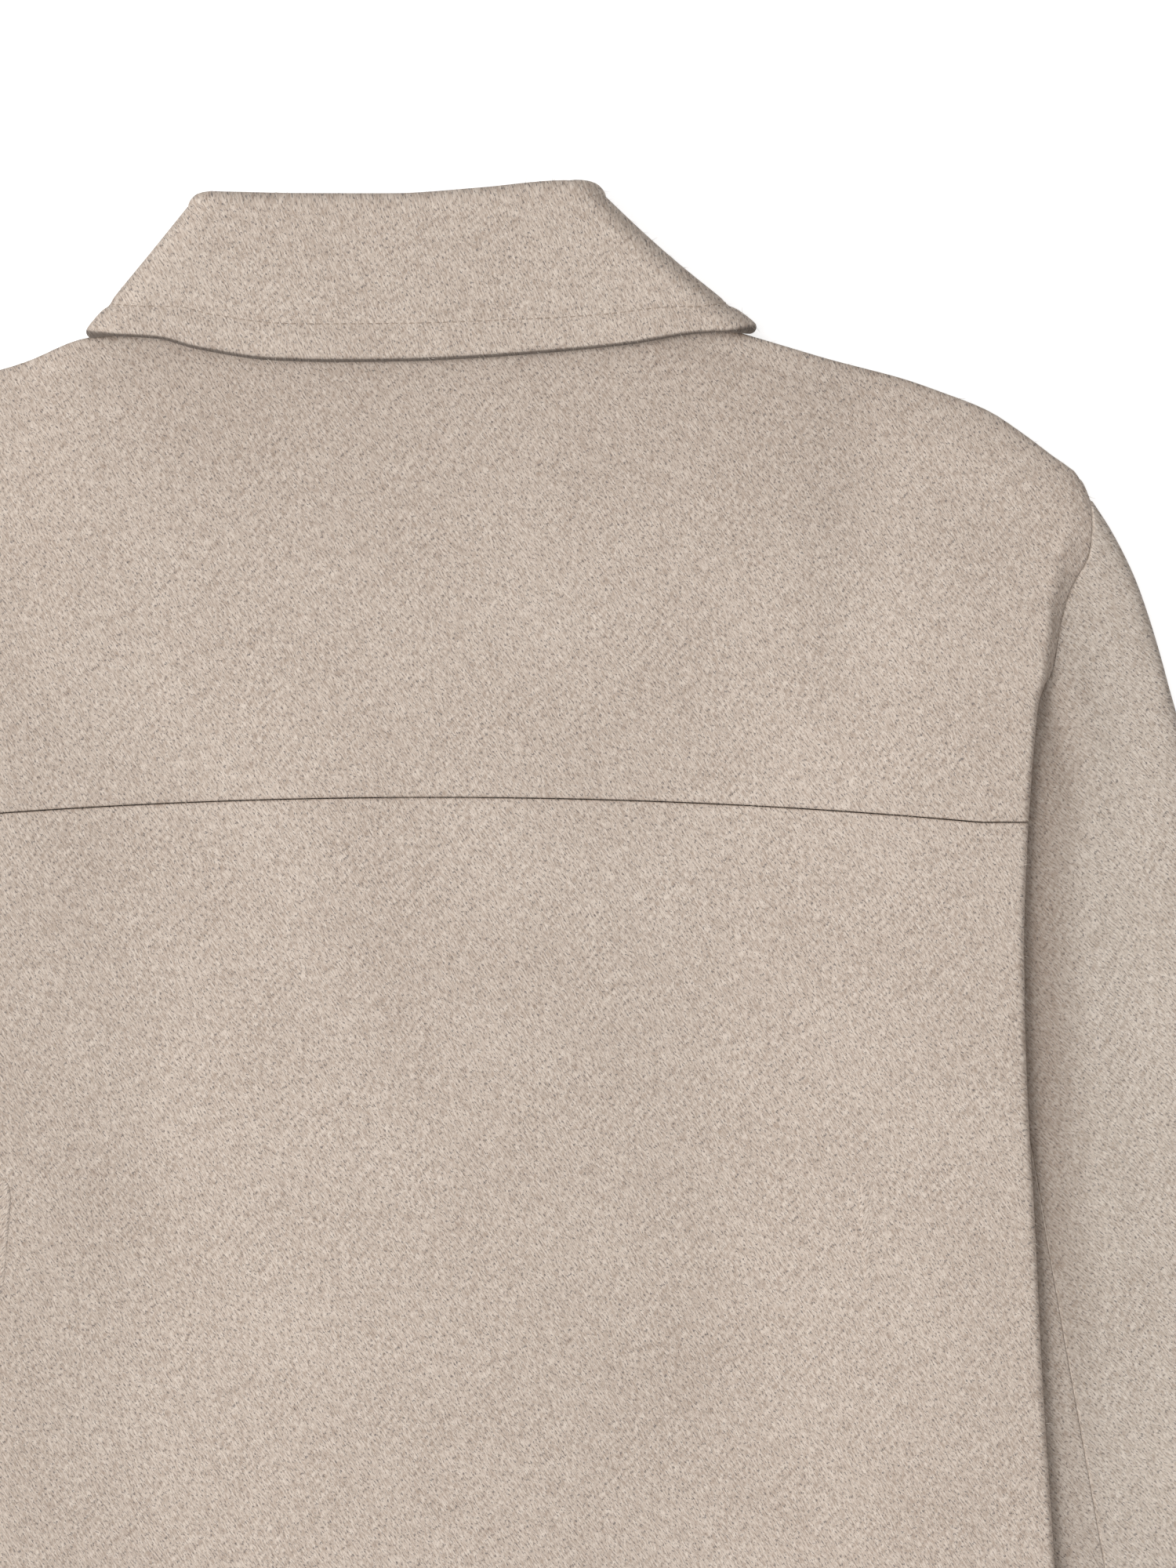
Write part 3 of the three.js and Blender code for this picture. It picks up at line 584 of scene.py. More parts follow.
def seam_drop(path, along, y):
    """How far the back's turned-under cloth comes down to meet the front at the side seam."""
    edge = SidePath(BACK_SIDE, 3, y).x
    down = (UNDERARM_Y - y) / (UNDERARM_Y - CUFF_INNER[1])
    sleeve_x = mix(armhole_edge(BACK_SIDE, UNDERARM_Y)[0], CUFF_INNER[0], down)
    width = np.maximum(np.minimum(SEAM_DROP_WIDTH, 0.6 * (sleeve_x - edge - CLOTH)), 1)
    full = back_height(path.start, y) - LAYER_STEP - SIDE_SEAM_LEVEL
    reached = ease(y, UNDERARM_Y - SEAM_DROP_START, UNDERARM_Y - SEAM_DROP_END)
    drop = full * reached * ease(path.from_edge, width, 0)
    return np.where((along > 2) & (y < UNDERARM_Y - SEAM_DROP_START), drop, 0)


def yoke_seam(x):
    return YOKE_SEAM_Y - YOKE_SEAM_FALL * np.minimum(np.abs(x) / YOKE_SEAM_HALF, 1) ** 2


def shoulder(x):
    """The shoulder's outline, half the cloth inside. It is a little fuller left of the collar."""
    return SHOULDER_LINE.read("y", np.abs(x)) - CLOTH / 2 + waves([FULLNESS], x)


def nominal_x(along):
    place = np.abs(along)
    across = np.where(place <= 1, HALF_SHOULDER * place, mix(HALF_SHOULDER, ARMHOLE_X, (place - 1) / 2))
    return np.sign(along) * across


def back_creases(x, y):
    """The back's soft creases, which fade toward its folds, its hem and the collar."""
    quiet = ease(np.abs(x), 206, 178) * ease(y, HEM_Y, HEM_Y + 24)
    return creases(BACK_CREASES, x, y) * quiet


def body_columns():
    half = one_by_one(
        stops(0, 1, BODY_SPACING, HALF_BACK, False, False),
        np.linspace(1, 2, 9),
        stops(2, 3, WIDE_SPACING, TURNED_UNDER, False, True),
    )
    return np.concatenate([-half[:0:-1], half])


def make_back():
    columns = body_columns()
    rows = stops(HEM_Y, BACK_TOP_Y, WIDE_SPACING, BACK_TOP_Y - HEM_Y)
    along, row = np.meshgrid(columns, rows)
    place = np.abs(along)
    y = mix(HEM_Y, yoke_seam(nominal_x(place)), (row - HEM_Y) / (BACK_TOP_Y - HEM_Y))
    path = SidePath(BACK_SIDE, place, y)
    level = np.where(place > 1, back_height(path.start, y), back_height(path.x, y))
    z = level - path.drop - seam_drop(path, place, y)
    z = z + np.where(place <= 1, back_creases(path.x, y), 0)
    middle = np.stack([np.sign(along) * path.x, y, z], -1)
    shell = Shell(rows, columns, middle, CLOTH, BODY_RIM)
    shell.raised = hem_relief(shell.from_start) - 0.2 * bell(shell.from_end, 5)
    shell.grain = np.stack([np.sign(along) * path.cloth_x, y], -1)
    return shell


def hem_relief(from_hem):
    """The turned-up hem: a slight rise up to its stitching, and a dip there."""
    return 0.35 * ease(from_hem, HEM_STITCH + 2, HEM_STITCH - 4) - 0.35 * bell(from_hem - HEM_STITCH, 1.4)


def make_yoke():
    columns = body_columns()
    rows = one_by_one(
        stops(0, 1, YOKE_SPACING, YOKE_DEPTH, True, False),
        np.linspace(1, 2, 25),
        stops(2, 3, WIDE_SPACING, FORWARD_SEAM, False, True),
    )
    along, row = np.meshgrid(columns, rows)
    place = np.abs(along)
    top = shoulder(nominal_x(along))
    angle = np.pi / 2 - np.pi * np.clip(row - 1, 0, 1)
    lower = yoke_seam(nominal_x(place)) + SEAM_GAP
    rolled = top - SHOULDER_ROLL * (1 - np.cos(angle)) - FORWARD_SEAM * np.maximum(row - 2, 0)
    y = np.where(row <= 1, mix(lower, top - SHOULDER_ROLL, row), rolled)
    upper = (1 + np.sin(angle)) / 2
    back, front = SidePath(BACK_SIDE, place, y), SidePath(FRONT_SIDE, place, y)
    back_z = back_height(np.minimum(back.x, back.start), y) - back.drop
    back_z = back_z + np.where(place <= 1, back_creases(back.x, y), 0)
    front_z = front_height(np.minimum(front.x, front.start), y) + front.drop
    x = mix(front.x, back.x, upper)
    middle = np.stack([np.sign(along) * x, y, mix(front_z, back_z, upper)], -1)
    shell = Shell(rows, columns, middle, CLOTH, BODY_RIM)
    shell.raised = 0.42 * bell(shell.from_start - 5, 5.5) * ease(x, 212, 196)
    across_fold = waves(ARMHOLE_CREASES, y + 0.55 * (x - 222))
    shell.raised += across_fold * ease(place, 0.97, 1.25) * ease(place, 2.6, 1.9) * (row <= 1)
    # Painted shade: darker near the collar, in the fold beside the armhole, toward the shoulder's outline and
    # on the rolled-under cloth
    painted_collar_shade = 0.1 * ease(y, 205, 300) * ease(x, 175, 110)
    painted_armhole_shade = 0.12 * ease(place, 1, 1.35) * ease(y, 243, 236)
    shell.tone = np.where(row <= 1.2, painted_collar_shade + painted_armhole_shade + 0.05 * ease(top - y, 28, 4), 0.05)
    cloth_y = np.where(row <= 1.5, y, 2 * top - y)
    shell.grain = np.stack([np.sign(along) * mix(front.cloth_x, back.cloth_x, upper), cloth_y], -1)
    return shell


def make_front(side):
    """A front. The wearer's right one lies nearer the back."""
    columns = one_by_one(
        stops(-1, 0, 3, OVERLAP, True, False),
        stops(0, 1, FRONT_SPACING, HALF_BACK, False, False),
        np.linspace(1, 2, 9),
        stops(2, 3, FRONT_SPACING, TURNED_UNDER, False, True),
    )
    rows = stops(HEM_Y, FRONT_TOP_Y, FRONT_SPACING, FRONT_TOP_Y - HEM_Y)
    along, row = np.meshgrid(columns, rows)
    place = np.maximum(along, 0)
    top = shoulder(side * nominal_x(place)) - SHOULDER_ROLL - FORWARD_SEAM - SEAM_GAP
    y = mix(HEM_Y, top, (row - HEM_Y) / (FRONT_TOP_Y - HEM_Y))
    path = SidePath(FRONT_SIDE, place, y)
    x = np.where(along < 0, OVERLAP * along, path.x)
    lapped = LAP_STEP * ease(x, *LAP_X) if side > 0 else 0
    z = front_height(np.minimum(x, path.start), y) + path.drop + lapped
    shell = Shell(rows, columns, np.stack([side * x, y, z], -1), CLOTH, FRONT_RIM, -side)
    dips = bell(shell.from_left - FRONT_STITCH, 1.2) + bell(shell.from_start - HEM_STITCH, 1.4)
    soft = np.abs(creases(FRONT_CREASES, x, y))
    shell.raised = np.where(place > 1, 0, -0.3 * (soft + dips))
    shell.grain = np.stack([side * np.where(along < 0, x, path.cloth_x), y], -1)
    return shell


def neck_blocks(front_only):
    """What the neck hole takes away: all through the fronts, and less of the back above them."""
    beyond, under, over = 420, -20, 60
    shares = np.linspace(0, 1, 25)
    x = mix(-NECK_HALF, NECK_HALF, shares)
    back = list(zip(x, mix(BACK_NECK_Y, NECK_SIDE_Y, (x / NECK_HALF) ** 2)))
    corner_points = [(-NECK_HALF, NECK_SIDE_Y), (-NECK_BEND[0], NECK_BEND[1]), (0, FRONT_NECK_Y)]
    side, bend, end = np.array(corner_points)
    left = [tuple(mix(mix(side, bend, t), mix(bend, end, t), t)) for t in shares]
    front = left + [(-px, py) for px, py in left[-2::-1]]
    corners = [(NECK_HALF, beyond), (-NECK_HALF, beyond)]
    if front_only:
        return [prism("neck_front", front + corners, under, over)]
    return [
        prism("neck_back", back + corners, under, over),
        prism("neck_front", front + corners, under, NECK_SPLIT_Z),
    ]


# Sleeves

ARMHOLE_TOP_Y = float(shoulder(ARMHOLE_X))


def outer_line():
    """A smooth line through the sleeve's outer edge, as dense points and their share of its length."""
    start = (float(armhole_edge(BACK_SIDE, ARMHOLE_TOP_Y)[0]), ARMHOLE_TOP_Y)
    knots = np.array([start, *SLEEVE_OUTER_EDGE], float)
    knots = np.concatenate([[2 * knots[0] - knots[1]], knots, [2 * knots[-1] - knots[-2]]])
    line = []
    for before, first, second, after in zip(knots, knots[1:], knots[2:], knots[3:]):
        steps = (first - before, second - first, after - second)
        gaps = [np.sqrt(np.linalg.norm(step)) for step in steps]
        paces = [step / gap for step, gap in zip(steps, gaps)]
        lean_in = (paces[0] - (second - before) / (gaps[0] + gaps[1]) + paces[1]) * gaps[1]
        lean_out = (paces[1] - (after - first) / (gaps[1] + gaps[2]) + paces[2]) * gaps[1]
        t = np.linspace(0, 1, 80)[:, None]
        line.append(
            first + lean_in * t + (3 * (second - first) - 2 * lean_in - lean_out) * t**2
            + (2 * (first - second) + lean_in + lean_out) * t**3
        )
    line = np.concatenate(line)
    run = np.concatenate([[0], np.cumsum(np.linalg.norm(np.diff(line, axis=0), axis=1))])
    return run / run[-1], line


OUTER_SHARES, OUTER_POINTS = outer_line()


def sleeve_plan(table, across, down):
    """The plan of one layer of the sleeve, from its inner (0) to its outer edge (1): x, y and start z."""
    start_y = mix(UNDERARM_Y, ARMHOLE_TOP_Y, across)
    start_x, start_z = armhole_edge(table, start_y)
    inner_x = armhole_edge(table, UNDERARM_Y)[0]
    outer_x = armhole_edge(table, ARMHOLE_TOP_Y)[0]
    starts = ((start_x, inner_x, outer_x), (start_y, UNDERARM_Y, ARMHOLE_TOP_Y))
    plan = []
    for axis, (start, inner, outer) in enumerate(starts):
        edge = np.interp(down, OUTER_SHARES, OUTER_POINTS[:, axis])
        cuff = mix(CUFF_INNER[axis], CUFF_OUTER[axis], across)
        sides = mix(mix(inner, CUFF_INNER[axis], down), edge, across)
        plan.append(sides + mix(start, cuff, down) - mix(mix(inner, outer, across), cuff, down))
    return plan[0], plan[1], start_z


def width_share(down, outer):
    """The share of the sleeve's width that one millimetre takes at its outer or inner edge."""
    low, high = (0.9, 1) if outer else (0, 0.1)
    first, second = sleeve_plan(BACK_SIDE, low, down), sleeve_plan(BACK_SIDE, high, down)
    return 0.1 / np.hypot(second[0] - first[0], second[1] - first[1])


def sleeve_layer(table, notch, across, down):
    """One layer of the sleeve: its x, y and z, and how far it is past the back's fold."""
    x, y, start_z = sleeve_plan(table, across, down)
    past_fold = x - BACK_SIDE.read("fold", y)
    in_notch = ease(y, *NOTCH_Y) * ease(y, *notch["end_y"]) * ease(past_fold, *notch["past_fold"])
    settled_z = notch["level"] + notch["rise"] * in_notch
    return x, y, mix(start_z, settled_z, ease(down, *SLEEVE_SETTLE)), past_fold


def lapped_seam(shell, side, down):
    """The sleeve's seam, lapped over and stitched down, with small puckers across it."""
    band = 0.38 * ease(shell.from_left, 9.4, 7.6) - 0.5 * bell(shell.from_left - SLEEVE_STITCH, 1.1)
    puckers = waves(SEAM_PUCKERS, down + 0.004 * side)
    return band + puckers * ease(shell.from_left, 17, 7) * ease(shell.from_left, 0, 2)


def make_sleeve(side, outer):
    """The upper sleeve, round the outer edge, or the under sleeve, round the inner one."""
    seam = SLEEVE_SEAM_AT + (1 if outer else -1) * CURVED_GAP / 2 / (ARMHOLE_TOP_Y - UNDERARM_Y)
    width = UPPER_SLEEVE if outer else UNDER_SLEEVE
    columns = one_by_one(
        stops(0, 1, SLEEVE_SPACING, width, True, False),
        np.linspace(1, 2, 15 if outer else 9),
        stops(2, 3, WIDE_SPACING, width, False, True),
    )
    rows = stops(0, 1, WIDE_SPACING, SLEEVE_LENGTH)
    place, down = np.meshgrid(columns, rows)
    angle = np.pi / 2 - np.pi * np.clip(place - 1, 0, 1)
    upper = (1 + np.sin(angle)) / 2
    roll_end = 1 - SHOULDER_ROLL * width_share(down, True)
    roll_end_arm = 1 - SHOULDER_ROLL * width_share(0.0, True)
    seam_across = seam / roll_end_arm * roll_end
    share = np.where(place <= 1, place, 3 - place)
    if outer:
        rolled = 1 - SHOULDER_ROLL * width_share(down, True) * (1 - np.cos(angle))
        flat = mix(seam_across, roll_end, share)
    else:
        rolled = INNER_FOLD * width_share(down, False) * (1 - np.cos(angle))
        flat = mix(seam_across, INNER_FOLD * width_share(down, False), share)
    across = np.where((place >= 1) & (place <= 2), rolled, flat)
    top_x, top_y, top_z, past = sleeve_layer(BACK_SIDE, TOP_NOTCH, across, down)
    low_x, low_y, low_z, _ = sleeve_layer(FRONT_SIDE, BOTTOM_NOTCH, across, down)
    rows_of_creases = RIGHT_SLEEVE_CREASES if side > 0 else LEFT_SLEEVE_CREASES
    calm = ease(past, 6, 18) * ease(down, 0.03, 0.1) * ease(down, 1, 0.94)
    top_z = top_z + creases(rows_of_creases, top_x, top_y) * calm
    middle = np.stack([mix(low_x, top_x, upper), mix(low_y, top_y, upper), mix(low_z, top_z, upper)], -1)
    shell = Shell(rows, columns, middle, CLOTH, SLEEVE_RIM)
    on_top, on_low = place < 1.05, place > 1.95
    shell.raised = hem_relief(shell.from_end)
    if outer:
        shell.raised += np.where(on_top, lapped_seam(shell, side, down) * ease(past, -2, 4), 0)
    # Painted shadow beside the back's fold, deepest high on the sleeve, and painted shade toward the sleeve's
    # rolled outer edge
    deepest = mix(0.55, 1, ease(top_y, -80, 40)) * ease(top_y, 235, 150)
    painted_fold_shadow = 0.4 * ease(past, 26, 5) * ease(top_y, -345, -300) * deepest
    painted_edge_shade = 0.05 * ease(across, 0.8, 0.97)
    shell.tone = np.where(on_low, 0, painted_fold_shadow + painted_edge_shade)
    across_x, along_y = turned(middle[..., 0], middle[..., 1])
    rim_column = np.argmin(np.abs(columns - 1.5))
    mirrored = 2 * across_x[:, rim_column:rim_column + 1] - across_x
    shell.grain = np.stack([np.where(on_low, mirrored, across_x), along_y], -1)
    shell.middle[..., 0] *= side
    shell.normal[..., 0] *= side
    shell.grain[..., 0] *= side
    return shell


def turned(x, y):
    """Plan coordinates across and along the sleeve."""
    turn = math.radians(SLEEVE_TURN)
    return x * math.cos(turn) + y * math.sin(turn), y * math.cos(turn) - x * math.sin(turn)


# Collar


def ring_point(ring, back_y, round_place):
    """A point on a ring of the collar: -3 is its left front end, -1 to 1 the back, 3 its right front end."""
    side = np.where(round_place < 0, -1.0, 1.0)
    side_x = np.where(side < 0, ring["left"][0], ring["right"][0])
    side_y = np.where(side < 0, ring["left"][1], ring["right"][1])
    turn_in = side_x - side * ring["roll"]
    place = np.abs(round_place)
    back_x = mix(ring["left"][0] + ring["roll"], ring["right"][0] - ring["roll"], (round_place + 1) / 2)
    angle = np.pi * (0.5 - (np.clip(place, 1, 2) - 1))
    upper = (1 + np.sin(angle)) / 2
    share = np.maximum(place - 2, 0)
    bend_x, bend_y = side * ring["bend"][0], ring["bend"][1]
    end_x, end_y = side * ring["end"][0], ring["end"][1]
    over = [back_x, back_y(back_x), np.full(place.shape, float(ring["high"]))]
    roll = [
        side_x - side * ring["roll"] * (1 - np.cos(angle)),
        mix(side_y, back_y(turn_in), upper),
        mix(ring["low"], ring["high"], upper),
    ]
    front = [
        mix(mix(turn_in, bend_x, share), mix(bend_x, end_x, share), share),
        mix(mix(side_y, bend_y, share), mix(bend_y, end_y, share), share),
        np.full(place.shape, float(ring["low"])),
    ]
    where = [place <= 1, place <= 2]
    return np.stack([np.select(where, [a, b], c) for a, b, c in zip(over, roll, front)], -1)


def neck_line(x):
    return mix(BACK_NECK_Y, NECK_SIDE_Y, (x / NECK_HALF) ** 2) + SEAM_GAP


def fold_line(x):
    return FOLD_LINE.read("y", x) - FOLD_SETBACK


def collar_columns(spacing):
    return one_by_one(
        stops(-3, -2, spacing * 1.6, COLLAR_FRONT, True, False),
        np.linspace(-2, -1, 11),
        stops(-1, 1, spacing, COLLAR_BACK, False, False),
        np.linspace(1, 2, 11),
        stops(2, 3, spacing * 1.6, COLLAR_FRONT, False, True),
    )


def make_stand():
    columns = collar_columns(WIDE_SPACING)
    rows = stops(0, 1, WIDE_SPACING, STAND_HEIGHT)
    place, share = np.meshgrid(columns, rows)
    base = ring_point(STAND_BASE, neck_line, place)
    top = ring_point(FOLD_INSIDE, fold_line, place)
    middle = mix(base, top, (share * STAND_SHARE)[..., None])
    shell = Shell(rows, columns, middle, STAND_CLOTH, COLLAR_RIM)
    shell.grain = np.stack([shell.from_left, shell.from_start], -1)
    return shell


def make_leaf():
    """The leaf: up from the stand (0 to 1), over the fold (1 to 2) and down to its edge (2 to 3)."""
    columns = collar_columns(COLLAR_SPACING)
    rows = one_by_one(
        stops(0, 1, COLLAR_SPACING, LEAF_RISE, True, False),
        np.linspace(1, 2, 15),
        stops(2, 3, LEAF_SPACING, LEAF_DEPTH, False, True),
    )
    place, row = np.meshgrid(columns, rows)
    base = ring_point(STAND_BASE, neck_line, place)
    inside = ring_point(FOLD_INSIDE, fold_line, place)
    outside = ring_point(FOLD_OUTSIDE, fold_line, place)
    rim = ring_point(LEAF_RIM, lambda x: LEAF_EDGE.read("y", x), place)
    gap_share = CURVED_GAP / np.linalg.norm(inside - base, axis=-1)
    rising = mix(base, inside, mix(STAND_SHARE + gap_share, 1, np.clip(row, 0, 1))[..., None])
    angle = np.pi * (np.clip(row, 1, 2) - 1)
    radius = np.linalg.norm(outside - inside, axis=-1) / 2
    folding = mix(inside, outside, ((1 - np.cos(angle)) / 2)[..., None])
    folding[..., 1] += radius * np.sin(angle)
    share = np.clip(row - 2, 0, 1)
    sideways = np.where(np.abs(place) <= 1, np.abs(place) ** 4, np.minimum(1, 3 - np.abs(place)))
    falling = mix(outside, rim, share[..., None])
    bow = np.where(place < 0, -LEAF_BOW[0], LEAF_BOW[1])
    falling[..., 0] -= bow * np.sin(np.pi * share) * sideways
    middle = np.select([(row <= 1)[..., None], (row <= 2)[..., None]], [rising, folding], falling)
    shell = Shell(rows, columns, middle, COLLAR_CLOTH, COLLAR_RIM, -1)
    from_edge = np.minimum(shell.from_end, np.minimum(shell.from_left, shell.from_right))
    on_leaf = ease(row, 2.02, 2.12)
    puffed = 0.32 * ease(from_edge, 12.6, 9) * ease(from_edge, 0, 5)
    valley = -0.55 * bell(from_edge - COLLAR_STITCH, 1.7) - 0.18 * bell(from_edge - COLLAR_STITCH, 5)
    edge_waves = waves(COLLAR_WAVES, place) * ease(from_edge, 20, 2)
    shell.raised = (puffed + valley + edge_waves) * on_leaf
    # Painted shadow: a dark line along the leaf's free edge, where it lies over the yoke
    shell.shade = 0.78 * ease(shell.from_end, 1.7, 0.7) * on_leaf
    edge_x = np.where(place < 0, LEAF_RIM["left"][0], LEAF_RIM["right"][0])
    fold_y = 366
    unrolled_x = np.where(np.abs(place) > 1.5, 2 * edge_x - middle[..., 0], middle[..., 0])
    unrolled_y = np.where(row < 1.5, 2 * fold_y - middle[..., 1], middle[..., 1])
    shell.grain = np.stack([unrolled_x, unrolled_y], -1)
    return shell


# Finishes


class Value:
    """A number that changes over a surface. Arithmetic on it adds Math nodes to its finish."""

    def __init__(self, finish, socket):
        self.finish, self.socket = finish, socket

    def math(self, operation, *terms):
        made = self.finish.node("ShaderNodeMath", {"operation": operation}, dict(enumerate(terms)))
        return Value(self.finish, made.outputs[0])

    def __add__(self, other):
        return self.math("ADD", self, other)

    __radd__ = __add__

    def __mul__(self, other):
        return self.math("MULTIPLY", self, other)

    def __sub__(self, other):
        return self.math("SUBTRACT", self, other)

    def wave(self):
        return self.math("SINE", self)

    def between(self, low, high):
        """0 below low, 1 above high, smooth between them."""
        inputs = {"Value": self, "From Min": low, "From Max": high}
        made = self.finish.node("ShaderNodeMapRange", {"interpolation_type": "SMOOTHSTEP"}, inputs)
        return Value(self.finish, made.outputs[0])


class Nodes:
    """A node tree, with the one method that adds nodes to it."""

    def node(self, kind, settings=None, sockets=None):
        """A node of that type, with its settings set first and then the values or links of its sockets."""
        made = self.tree.nodes.new(kind)
        for key, setting in (settings or {}).items():
            setattr(made, key, setting)
        for key, given in (sockets or {}).items():
            source = self.source(given)
            if isinstance(source, bpy.types.NodeSocket):
                self.tree.links.new(source, made.inputs[key])
            else:
                made.inputs[key].default_value = source
        return made


class Finish(Nodes):
    """A material and the nodes that it is made of."""

    def __init__(self, name):
        self.material = bpy.data.materials.new(name)
        self.material.use_nodes = True
        self.tree = self.material.node_tree
        self.tree.nodes.clear()

    def source(self, given):
        return given.socket if isinstance(given, Value) else given

    def noise(self, vector, turn, size, detail, roughness=0.5):
        """Noise in cells of that size in millimetres, turned by degrees on the cloth."""
        placed = self.node(
            "ShaderNodeMapping",
            {"vector_type": "TEXTURE"},
            {
                "Vector": vector,
                "Rotation": (0, 0, math.radians(turn)),
                "Scale": (size[0] * METRE, size[1] * METRE, METRE),
            },
        )
        inputs = {"Vector": placed.outputs[0], "Scale": 1.0, "Detail": detail, "Roughness": roughness}
        return Value(self, self.node("ShaderNodeTexNoise", {"noise_dimensions": "2D"}, inputs).outputs[0])

    def attribute(self, name):
        """A value that the mesh carries at its points."""
        return Value(self, self.node("ShaderNodeAttribute", {"attribute_name": name}).outputs["Fac"])

    def mixed(self, share, first, second):
        inputs = {"Factor": share, 6: first, 7: second}
        return self.node("ShaderNodeMix", {"data_type": "RGBA"}, inputs).outputs[2]

    def done(self, sockets):
        shader = self.node("ShaderNodeBsdfPrincipled", None, sockets)
        self.node("ShaderNodeOutputMaterial", None, {"Surface": shader.outputs[0]})
        return self.material


def colour(red, green, blue):
    """A screen colour from 0 to 255, as the linear light that nodes take."""
    parts = [part / 255 for part in (red, green, blue)]
    return (*[part / 12.92 if part <= 0.04045 else ((part + 0.055) / 1.055) ** 2.4 for part in parts], 1)


# What the wool is mixed from: degrees off the twill, width and length in millimetres, detail, roughness
FIBRES = {
    "patches": (-18, (3.6, 6.0), 4, 0.62),
    "strokes": (-18, (0.5, 2.8), 3, 0.6),
    "hairs": (-30, (0.34, 4.0), 2, 0.6),
    "specks": (-12, (0.5, 1.3), 3, 0.55),
    "glints": (-48, (0.5, 1.6), 2, 0.7),
    "browns": (-24, (1.5, 2.6), 2, 0.6),
}
GREY_SPECK = colour(112, 106, 104)
BROWN_FIBRE = colour(158, 136, 118)
BRIGHT_FIBRE = colour(232, 222, 210)
PALE_HAIR = colour(222, 209, 196)
# Painted shade: a warm brown for folds, the collar's surround and rolled edges, and a dark neutral for the
# shadow under the collar's edge
PAINTED_SHADE_BROWN = colour(92, 66, 48)
EDGE_SHADE = colour(58, 50, 46)


def wool_finish(name, dark, light, twill_turn, twill_pitch):
    """Brushed wool coating: a melange of beige and grey fibres over a soft twill, with a fine nap."""
    finish = Finish(name)
    cloth = finish.node("ShaderNodeUVMap", {"uv_map": "grain"}).outputs[0]
    clouds = finish.noise(cloth, 20, (46, 60), 3, 0.55)
    patches, strokes, hairs, specks, glints, browns = (
        finish.noise(cloth, twill_turn + off, size, detail, roughness)
        for off, size, detail, roughness in FIBRES.values()
    )
    split = finish.node("ShaderNodeSeparateXYZ", None, {0: cloth})
    x, y = Value(finish, split.outputs[0]), Value(finish, split.outputs[1])
    turn = math.radians(twill_turn)
    rate = 2 * math.pi / (twill_pitch * METRE)
    wander = finish.noise(cloth, 0, (9, 9), 2) * 5.0
    rib = (x * (-math.sin(turn) * rate) + y * (math.cos(turn) * rate) + wander).wave()
    worn = finish.noise(cloth, 0, (24, 24), 2).between(0.32, 0.66)
    twill = rib * worn
    tone = 0.5 + (patches - 0.5) * 0.5 + (strokes - 0.5) * 1.6 + (clouds - 0.5) * 0.22 + twill * 0.085
    base = finish.mixed(tone.between(0.0, 1.0), dark, light)
    for share, fibre in (
        (specks.between(0.575, 0.665) * 0.85, GREY_SPECK),
        (browns.between(0.6, 0.78) * 0.32, BROWN_FIBRE),
        (glints.between(0.63, 0.8) * 0.6, BRIGHT_FIBRE),
        (hairs.between(0.6, 0.78) * 0.34, PALE_HAIR),
        # painted shade from the mesh's tone and shade attributes
        (finish.attribute("tone"), PAINTED_SHADE_BROWN),
        (finish.attribute("shade"), EDGE_SHADE),
    ):
        base = finish.mixed(share, base, fibre)
    relief = patches * 0.5 + strokes * 0.55 + hairs * 0.25 + twill * 0.1
    bump = finish.node("ShaderNodeBump", None, {"Strength": 0.55, "Distance": 0.0004, "Height": relief})
    return finish.done({
        "Base Color": base, "Roughness": 0.9, "Normal": bump.outputs[0], "Specular IOR Level": 0.18,
        "Sheen Weight": 0.16, "Sheen Roughness": 0.45, "Sheen Tint": colour(240, 232, 222),
    })


def plain_finish(name, first, second, size, roughness):
    """Thread, fibre or horn: two tones that drift into each other."""
    finish = Finish(name)
    place = finish.node("ShaderNodeTexCoord").outputs["Object"]
    inputs = {"Vector": place, "Scale": 1 / (size * METRE), "Detail": 3.0}
    share = Value(finish, finish.node("ShaderNodeTexNoise", None, inputs).outputs[0])
    base = finish.mixed(share.between(0.35, 0.65), first, second)
    bump = finish.node("ShaderNodeBump", None, {"Strength": 0.3, "Distance": 0.00005, "Height": share})
    return finish.done({"Base Color": base, "Roughness": roughness, "Normal": bump.outputs[0]})


# Stitches and nap


